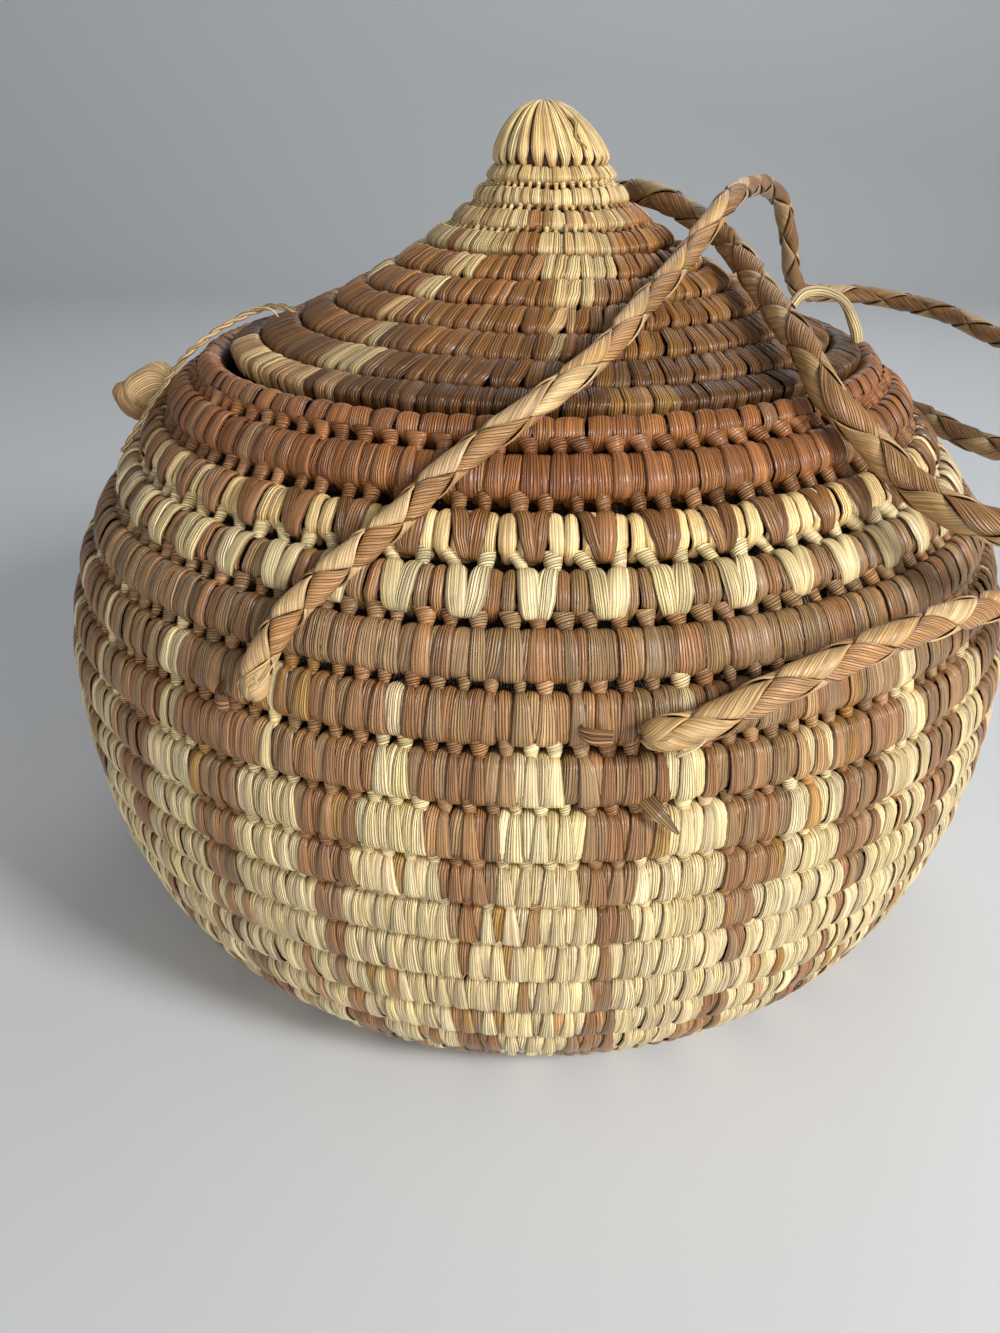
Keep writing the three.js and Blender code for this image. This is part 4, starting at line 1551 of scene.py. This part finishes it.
def carried_frames(points: np.ndarray, first: tuple[float, float, float],
                   pull: float = 0.0) -> tuple[np.ndarray, np.ndarray]:
    """Side and up directions carried along a curve with the least turning.

    Args:
        points: The curve.
        first: A direction that the first side direction is taken from.
        pull: How strongly each step turns the side direction back towards that direction.

    Returns:
        Side and up directions, one row for each point.
    """
    tangents = np.gradient(points, axis=0)
    tangents /= np.linalg.norm(tangents, axis=1)[:, None]
    aim = np.array(first)
    side = aim - tangents[0] * np.dot(aim, tangents[0])
    sides = []
    for tangent in tangents:
        side = side + pull * (aim - tangent * np.dot(aim, tangent))
        side = side - tangent * np.dot(side, tangent)
        side = side / np.linalg.norm(side)
        sides.append(side)
    sides = np.array(sides)
    return sides, np.cross(tangents, sides)


@dataclass
class PlaitedHandle:
    """A round plait of four broad palm-leaf strips, two wound each way, with both ends tied to the wall.

    Every strip passes over one and under one, so the surface is a net of leaning cells. In each cell one
    strip lies on top, with free lips along its sides, and dives under its neighbours' lips at both ends.
    """

    name: str
    route: tuple
    body: str
    # By length along the plait: its radius, the length of a plaiting step, its twist and its lightness, which
    # is partly the leaf's own tone and partly painted shade
    radii: Table
    steps: Table
    rolls: Table
    tone_and_shade: Table
    seed: int
    # Where its front seam looks, how far each cell runs on under the next, and the length of a blunt end
    face: tuple[float, float, float] = (0.1, -0.8, 0.6)
    dive: float = 1.35
    blunt: float = 5.0
    diameter: float = 0.0075

    def build(self, material: bpy.types.Material) -> bpy.types.Object:
        """Args:
            material: The plait's finish.

        Returns:
            The handle.
        """
        rng = np.random.default_rng(self.seed)
        self.path = smooth_route(self.route, 1.0)
        self.total = float(np.linalg.norm(np.diff(self.path, axis=0), axis=1).sum())
        self.sides, self.ups = carried_frames(self.path, self.face, 0.06)
        mesh = LeafMesh()
        for column in range(4):
            self.add_facets(mesh, rng, column)
        for end in (0, 1):
            self.add_end(mesh, rng, end)
        nodes = tuple(f"{self.body}_{part}" for part in ("cord", "end_left", "end_right"))
        piece = mesh.build(self.name, material, self.body, nodes, "plaited_leaf")
        path = self.path
        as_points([tuple(p * MM) for p in path[::4]] + [tuple(path[-1] * MM)])
        LOG.info("%s: %.0f mm long", self.name, self.total)
        return piece

    def around(self, place: np.ndarray, angle: np.ndarray, lift: np.ndarray) -> np.ndarray:
        """Points round the plait.

        Args:
            place: Lengths along it.
            angle: Angles round it from its front seam.
            lift: Heights above its girth.

        Returns:
            The points.
        """
        inside = np.clip(place, 0, self.total)
        spot = inside / self.total * (len(self.path) - 1)
        low = np.clip(spot.astype(int), 0, len(self.path) - 2)
        part = (spot - low)[..., None]
        middle, side, up = (row[low] * (1 - part) + row[low + 1] * part
                            for row in (self.path, self.sides, self.ups))
        turned = (angle - np.radians(looked_up(inside, self.rolls)))[..., None]
        reach = (looked_up(inside, self.radii) + lift)[..., None]
        return middle + (side * np.cos(turned) + up * np.sin(turned)) * reach

    @staticmethod
    def drawn_in(inset: np.ndarray) -> np.ndarray:
        """Share of the girth gained over a blunt end, from -1 at its tip to 0 where inset is 1."""
        return np.sqrt(1 - (1 - inset) ** 2.4) - 1

    def add_facets(self, mesh: LeafMesh, rng: np.random.Generator, column: int) -> None:
        """Adds one of the plait's four columns of cells, each with the strip that lies on top there.

        Args:
            mesh: The plait's mesh.
            rng: Random numbers.
            column: Which column, 0 to 3 round the plait from its front seam.
        """
        hand = -1.0 if column % 2 == 0 else 1.0
        lengths = np.linspace(-40, self.total + 40, 1200)
        cycles = np.concatenate([[0], np.cumsum(np.diff(lengths) / looked_up(lengths[1:], self.steps))])
        share = np.concatenate([[-1.0], np.linspace(-1, 1, 12), [1.0]])[None, :, None]
        run = np.linspace(-1, 1, 24)[None, None, :]
        total = int(cycles[-1]) - 1
        start = (np.arange(total) + 0.5 + 0.5 * (column % 2))[:, None, None]
        fit = rng.uniform(0.95, 1.0, (total, 1, 1))
        across = share * math.pi / 2 * fit
        reach = run * math.pi / 2 * self.dive
        angle = (column + 0.5) * math.pi / 2 + (across + reach) / 2
        cycle = start + hand * (across - reach) / TURN
        place = np.interp(cycle, cycles, lengths)
        beyond = np.abs(run) * self.dive
        lift = -0.02 - 0.8 * beyond ** 3 + 0.1 * np.abs(share) ** 8 + rng.normal(0, 0.05, (total, 1, 1))
        lift = lift - 0.12 * (1 - share ** 2) + rng.normal(0, 0.02, place.shape)
        lift[:, (0, -1)] -= 0.45
        # The cells run on over the blunt ends, where the plait is drawn together
        inset = np.clip(np.minimum(place, self.total - place) / self.blunt, 0.002, 1)
        lift = lift + looked_up(place, self.radii) * self.drawn_in(inset)
        points = self.around(np.clip(place, 0, self.total), angle, lift)
        middle = np.interp(start[:, 0, 0], cycles, lengths)
        kept = (middle > 0.5) & (middle < self.total - 0.5)
        girth = looked_up(middle, self.radii)[:, None, None]
        step = looked_up(middle, self.steps)[:, None, None]
        width = math.pi / np.sqrt(1 / girth ** 2 + (math.pi / step) ** 2)
        # Strips wound one way mostly show their smooth side and the others their ribs; the ends are smooth
        smooth = rng.uniform(0, 1, total) < (0.88 if hand > 0 else 0.1)
        smooth |= np.minimum(middle, self.total - middle) < 14
        plain, ribbed = tones(Leaf.PLAIT, total, rng, 0.05), tones(Leaf.RIBBED, total, rng, 0.05)
        # The lightness table darkens cells partly with painted shade
        tone = np.where(smooth[:, None], plain, ribbed) * looked_up(middle, self.tone_and_shade)[:, None]
        seed = np.floor(rng.uniform(0, STRIP_NUMBERS, total)) + np.where(smooth, 0.1, 0.8)
        spread = share * width / 2 + 0 * place + rng.uniform(0, LEAF_BREADTH, (total, 1, 1))
        along = run * width * 0.7 + 0 * place + rng.uniform(0, LEAF_LENGTH, (total, 1, 1))
        # Where a cell dives under its neighbours' lips it is painted in deep shade, and its tucked-under
        # sides take the edge dirt and painted shade
        edge = 1.9 * np.clip((beyond - 0.88) / 0.2, 0, 1) + 0 * place
        edge[:, (0, -1)] = 1.0
        # Cells wound the other way are turned over, so that every face looks outward
        order = -1 if hand < 0 else 1
        layers = (points, spread, along, edge)
        mesh.add(*(layer[kept][:, ::order] for layer in layers), tone[kept], seed[kept])

    def add_end(self, mesh: LeafMesh, rng: np.random.Generator, end: int) -> None:
        """Fills one end of the plait under its last cells, and adds a torn curl of leaf.

        Args:
            mesh: The plait's mesh.
            rng: Random numbers.
            end: 0 for the start and 1 for the far end.
        """
        inward = 1.0 if end == 0 else -1.0
        tip = 0.0 if end == 0 else self.total
        radius = float(looked_up(tip, self.radii))
        ring = np.linspace(0, TURN, 29)[None, :, None]
        rise = np.linspace(0, 1, 11)[None, None, :]
        inset = np.sin((1 - rise) * math.pi / 2)
        shrink = radius * self.drawn_in(inset) * 0.999 - 0.45 * inset
        cap = self.around(tip + inward * (0.25 + 6.0 * inset + 0 * ring), ring + 0 * rise, shrink + 0 * ring)
        order = 1 if end == 0 else -1
        tone = tones(Leaf.PLAIT, 1, rng, 0.03) * 0.7
        layers = (cap, ring * radius * 0.8 + 0 * rise, rise * 8 + 0 * ring, 0 * (rise + ring))
        mesh.add(*(layer[:, ::-order] for layer in layers), tone, np.array([7.1]))
        curl = np.linspace(0, 1, 16)
        lift = 0.6 + 1.6 * np.sin(curl * math.pi) * (1 - 0.4 * curl)
        path = self.around(tip + inward * (8.0 + 2.5 * curl - 2.0 * np.sin(curl * 5)), 0.2 + 0.7 * curl, lift)
        mesh.add_tube(path, 0.42 - 0.25 * curl, 7, 0.0, tones(Leaf.CREAM, 1, rng), np.array([4.1]))


@dataclass
class TieString:
    """A two-ply string of split leaf from the lid's left edge over the mouth to the wall."""

    material: bpy.types.Material
    ply_radius: float = 0.58
    lay_length: float = 9.0
    diameter: float = 0.0024
    # The short free end beside the string's upper end
    spare_end: tuple[tuple[float, float, float], ...] = (
        (-81.5, -23.6, 192.8), (-78.6, -25.0, 193.6), (-76.0, -26.2, 193.2), (-74.4, -27.0, 191.6))

    def build(self) -> bpy.types.Object:
        """Returns:
            The string.
        """
        path = smooth_route(STRING_ROUTE, 0.8)
        sides, ups = carried_frames(path, UP)
        length = run_lengths(path)
        rng = np.random.default_rng(5)
        mesh = LeafMesh()
        for ply in range(2):
            turn = length / self.lay_length * TURN + ply * math.pi
            wound = sides * np.cos(turn)[:, None] + ups * np.sin(turn)[:, None]
            strand = path + wound * self.ply_radius * 0.72
            radius = np.full(len(path), self.ply_radius)
            radius[0] = radius[-1] = 0.15
            tone = tones(Leaf.STRING, 1, rng)
            mesh.add_tube(strand, radius, 7, ply * 9.0, tone, rng.uniform(0, STRIP_NUMBERS, 1))
        spare = smooth_route(self.spare_end, 0.5)
        tone = tones(Leaf.STRING, 1, rng) * 1.1
        mesh.add_tube(spare, np.linspace(0.5, 0.2, len(spare)), 7, 3.0, tone, np.array([2.6]))
        piece = mesh.build("lid_tie_string_plies", self.material, "", ("lid_tie_string",), "leaf_string")
        top, foot = np.array(STRING_ROUTE[4]) * MM, np.array(STRING_ROUTE[-2]) * MM
        tuple(top)
        tuple(foot)
        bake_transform(piece)
        return piece


@dataclass
class SmallTies:
    """The toggle, the lashings and the lid's loop."""

    material: bpy.types.Material

    def build(self) -> list[bpy.types.Object]:
        """Builds the small tied pieces.

        Returns:
            The pieces.
        """
        pieces = [self.toggle(), self.loop()]
        for name, sign in (("front_handle", 1), ("back_handle", -1)):
            for side in ("left", "right"):
                pieces.append(self.lashing(f"{name}_lashing_{side}", sign))
        return pieces

    def toggle(self) -> bpy.types.Object:
        """Builds the toggle, a stub of plait folded into two lobes with a turn of leaf across its foot.

        Returns:
            The toggle.
        """
        low, high = (np.array(corner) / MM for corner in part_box("tie_toggle"))
        rng = np.random.default_rng(31)
        mesh = LeafMesh()
        middle_y = (low[1] + high[1]) / 2
        top = np.array([high[0] - 4.6, middle_y, high[2] - 4.9])
        foot = np.array([low[0] + 4.6, middle_y, low[2] + 4.9])
        rise_way = (top - foot) / np.linalg.norm(top - foot)
        cross_way = np.array([-rise_way[2], -0.2, rise_way[0]])
        fold = foot + rise_way * 0.4 - [0.0, 2.2, 0.0]
        # The front lobe is the plait's pale leaf made lighter still: partly the leaf's tone and partly a
        # painted highlight
        tan, plait = tones(Leaf.TAN, 1, rng), tones(Leaf.PLAIT, 1, rng) * 1.15
        # The back lobe, the front one and the turn of leaf: where each runs, its radius, tone and own number
        lobes = (
            (foot, top, 6.0, tan, 6.8),
            (foot + [3.4, -3.0, 4.0], top + [2.2, -3.0, 2.2], 5.5, plait, 8.1),
            (fold - cross_way * 3.0, fold + cross_way * 3.4, 4.1, tones(Leaf.TAN, 1, rng) * 0.8, 5.05),
        )
        rise = np.linspace(-1, 1, 15)
        for lobe, (start, end, size, tone, seed) in enumerate(lobes):
            middle, reach = (start + end) / 2, (end - start) / 2
            axis = reach / np.linalg.norm(reach)
            half = np.linalg.norm(reach) + size * 0.92
            path = middle + axis * (rise * half)[:, None]
            radius = size * (1 - np.abs(rise) ** 3.2) ** 0.5 + 0.05
            mesh.add_tube(path, radius, 18, lobe * 11.0, tone, np.array([seed]), first=(0.0, 1.0, 0.0))
        return mesh.build("tie_toggle_fold", self.material, "basket", ("tie_toggle",), "cream_leaf")

    def loop(self) -> bpy.types.Object:
        """Builds the loop of pale leaf on the lid's right edge.

        Returns:
            The loop.
        """
        rim = lid_line().at(0.0)[0]
        route = []
        for outward, upward, degrees in LOOP_ROUTE:
            azimuth, radius = math.radians(degrees), rim[0] + outward
            route.append((radius * math.sin(azimuth), -radius * math.cos(azimuth), rim[1] + upward))
        path = smooth_route(tuple(route), 0.8)
        rng = np.random.default_rng(9)
        mesh = LeafMesh()
        radius = 1.5 + 0.2 * np.sin(np.linspace(0, 1, len(path)) * 9)
        tone = tones(Leaf.CREAM, 1, rng) * 1.05
        mesh.add_tube(path, radius, 10, 0.0, tone, rng.uniform(0, STRIP_NUMBERS, 1))
        return mesh.build("lid_loop_leaf", self.material, "lid", ("lid_loop",), "cream_leaf")

    def lashing(self, node: str, sign: int) -> bpy.types.Object:
        """Builds one lashing as three turns of fine string along its solid.

        Args:
            node: The CAD node that it replaces.
            sign: 1 at the front and -1 at the back.

        Returns:
            The lashing.
        """
        low, high = (np.array(corner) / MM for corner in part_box(node))
        rng = np.random.default_rng(len(node))
        mesh = LeafMesh()
        z = (low[2] + high[2]) / 2
        if sign > 0:
            start, end = (high[0], low[1] + 1.5), (low[0] + 1.5, high[1] - 0.5)
        else:
            start, end = (low[0], high[1] - 1.5), (high[0] - 1.5, low[1] + 0.5)
        for turn in range(3):
            lift = (turn - 1) * 1.1
            route = ((start[0], start[1], z + lift),
                     ((start[0] + 2 * end[0]) / 3, start[1], z + lift * 1.2),
                     (end[0], (start[1] + end[1]) / 2, z + lift * 0.8),
                     (end[0], end[1], z + lift * 0.5))
            path = smooth_route(route, 0.8)
            radius = np.full(len(path), 0.6)
            tone = tones(Leaf.BROWN, 1, rng)
            mesh.add_tube(path, radius, 7, turn * 5.0, tone, rng.uniform(0, STRIP_NUMBERS, 1))
        return mesh.build(f"{node}_turns", self.material, "basket", (node,), "brown_leaf")


@dataclass(frozen=True)
class Lamp:
    """One soft square lamp: its place and width in metres and its power in watts."""

    name: str
    place: tuple[float, float, float]
    width: float
    power: float


# The key stands at the right, where the photograph's light comes from; the others fill its shadows
LAMPS = (
    Lamp("key", (0.95, -0.8, 0.85), 0.32, 17.0),
    Lamp("front", (0.45, -1.5, 0.25), 0.9, 12.0),
    Lamp("fill", (-1.2, -0.7, 0.8), 1.0, 1.2),
    Lamp("rim", (0.3, 1.1, 1.1), 0.8, 4.0),
)


@dataclass
class Studio:
    """The camera at the photograph's angle, the pale floor and the soft lamps."""

    focal_px: float = 1041.0
    frame_px: float = 1000.0
    place_mm: tuple[float, float, float] = (1.8, -336.5, 240.4)
    pitch: float = 27.42
    yaw: float = -2.23
    roll: float = 0.18
    # The floor in metres: half its width, where it turns up, the turn's radius, the wall's top and its drop
    floor_half: float = 3.0
    floor_back: float = 1.4
    sweep: float = 0.5
    wall_top: float = 3.0
    floor_drop: float = 0.0002
    lit_height: float = 0.12
    world_tone: str = "#e8eaec"
    world_strength: float = 0.24

    def build(self) -> None:
        """Builds the camera, the floor and the lamps."""
        self.camera()
        self.floor()
        self.lamps()

    def camera(self) -> None:
        """Places the camera."""
        pitch, yaw, roll = (math.radians(angle) for angle in (self.pitch, self.yaw, self.roll))
        ahead = Vector((math.sin(yaw) * math.cos(pitch), math.cos(yaw) * math.cos(pitch), -math.sin(pitch)))
        right = ahead.cross(Vector(UP)).normalized()
        up = right.cross(ahead)
        right_rolled = right * math.cos(roll) + up * math.sin(roll)
        up_rolled = up * math.cos(roll) - right * math.sin(roll)
        data = bpy.data.cameras.new("photo_camera")
        data.sensor_fit = "HORIZONTAL"
        data.sensor_width = 36.0
        data.lens = 36.0 * self.focal_px / self.frame_px
        data.clip_start, data.clip_end = 0.01, 20.0
        camera = bpy.data.objects.new("photo_camera", data)
        rows = Matrix((right_rolled, up_rolled, -ahead)).transposed()
        camera.matrix_world = Matrix.Translation(Vector(self.place_mm) * MM) @ rows.to_4x4()
        bpy.context.scene.collection.objects.link(camera)
        bpy.context.scene.camera = camera

    def floor(self) -> None:
        """Lays a pale floor that sweeps up behind the basket."""
        mesh = bpy.data.meshes.new("floor")
        half, back, sweep = self.floor_half, self.floor_back, self.sweep
        angles = np.radians(np.arange(10, 91, 10))
        profile = [(-half, 0.0), (back, 0.0)]
        profile += [(back + sweep * math.sin(a), sweep - sweep * math.cos(a)) for a in angles]
        profile += [(back + sweep, self.wall_top)]
        points = [(x, y, z - self.floor_drop) for y, z in profile for x in (-half, half)]
        faces = [(2 * i, 2 * i + 1, 2 * i + 3, 2 * i + 2) for i in range(len(profile) - 1)]
        mesh.from_pydata(points, [], faces)
        mesh.polygons.foreach_set("use_smooth", [True] * len(faces))
        mesh.materials.append(StudioPaintFinish().material())
        floor = bpy.data.objects.new("floor", mesh)
        bpy.context.scene.collection.objects.link(floor)

    def lamps(self) -> None:
        """Hangs the lamps and the pale world."""
        aim = Vector((0, 0, self.lit_height))
        for spec in LAMPS:
            data = bpy.data.lights.new(spec.name, "AREA")
            data.energy, data.size = spec.power, spec.width
            lamp = bpy.data.objects.new(spec.name, data)
            lamp.location = spec.place
            lamp.rotation_euler = (aim - Vector(spec.place)).to_track_quat("-Z", "Y").to_euler()
            bpy.context.scene.collection.objects.link(lamp)
        world = bpy.data.worlds.new("studio")
        world.use_nodes = True
        background = world.node_tree.nodes["Background"]
        background.inputs["Color"].default_value = (*linear(self.world_tone), 1)
        background.inputs["Strength"].default_value = self.world_strength
        bpy.context.scene.world = world
        bpy.context.scene.view_settings.view_transform = "Standard"


def main() -> None:
    """Builds the studio and every piece."""
    logging.basicConfig(level=logging.INFO, format="%(name)s: %(message)s")
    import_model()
    Studio().build()
    plait, wrapped, spun = (finish.material() for finish in (PLAITED_LEAF, WRAPPED_LEAF, SPUN_LEAF))
    PlaitedHandle(
        name="front_handle_plait", route=FRONT_ROUTE, body="front_handle", seed=3,
        radii=((0, 3.7), (40, 3.6), (110, 3.3), (199, 3.3), (291, 3.4), (449, 3.8), (700, 3.9), (830, 4.0)),
        steps=((0, 13), (60, 15), (100, 25), (170, 27), (204, 31), (290, 31), (330, 22), (420, 20),
               (830, 20.5)),
        rolls=((0, 0), (440, 0), (680, 90), (830, 90)),
        # Lightness: the arch over the lid and its descent are darkened, partly with painted shade
        tone_and_shade=((0, 1.0), (230, 0.95), (290, 0.75), (420, 0.65), (560, 0.85), (700, 1.0), (830, 1.0)),
    ).build(plait)
    PlaitedHandle(
        name="back_handle_plait", route=BACK_ROUTE, body="back_handle", seed=4,
        radii=((0, 4.1), (179, 4.0), (237, 3.95), (300, 3.95), (340, 4.2), (573, 4.2), (710, 4.1)),
        steps=((0, 20), (150, 20), (230, 22), (300, 24), (340, 21), (710, 20)),
        rolls=((0, 0), (190, 0), (240, 45), (710, 45)),
        # Lightness: the back handle is darkened, most on its far side, partly with painted shade
        tone_and_shade=((0, 0.6), (190, 0.6), (250, 0.75), (340, 0.85), (420, 0.7), (520, 0.5), (710, 0.5)),
    ).build(plait)
    TieString(spun).build()
    BasketBody(wrapped).build()
    LooseEnd(wrapped).build()
    Lid(wrapped).build()
    SmallTies(spun).build()


if __name__ == "__main__":
    main()
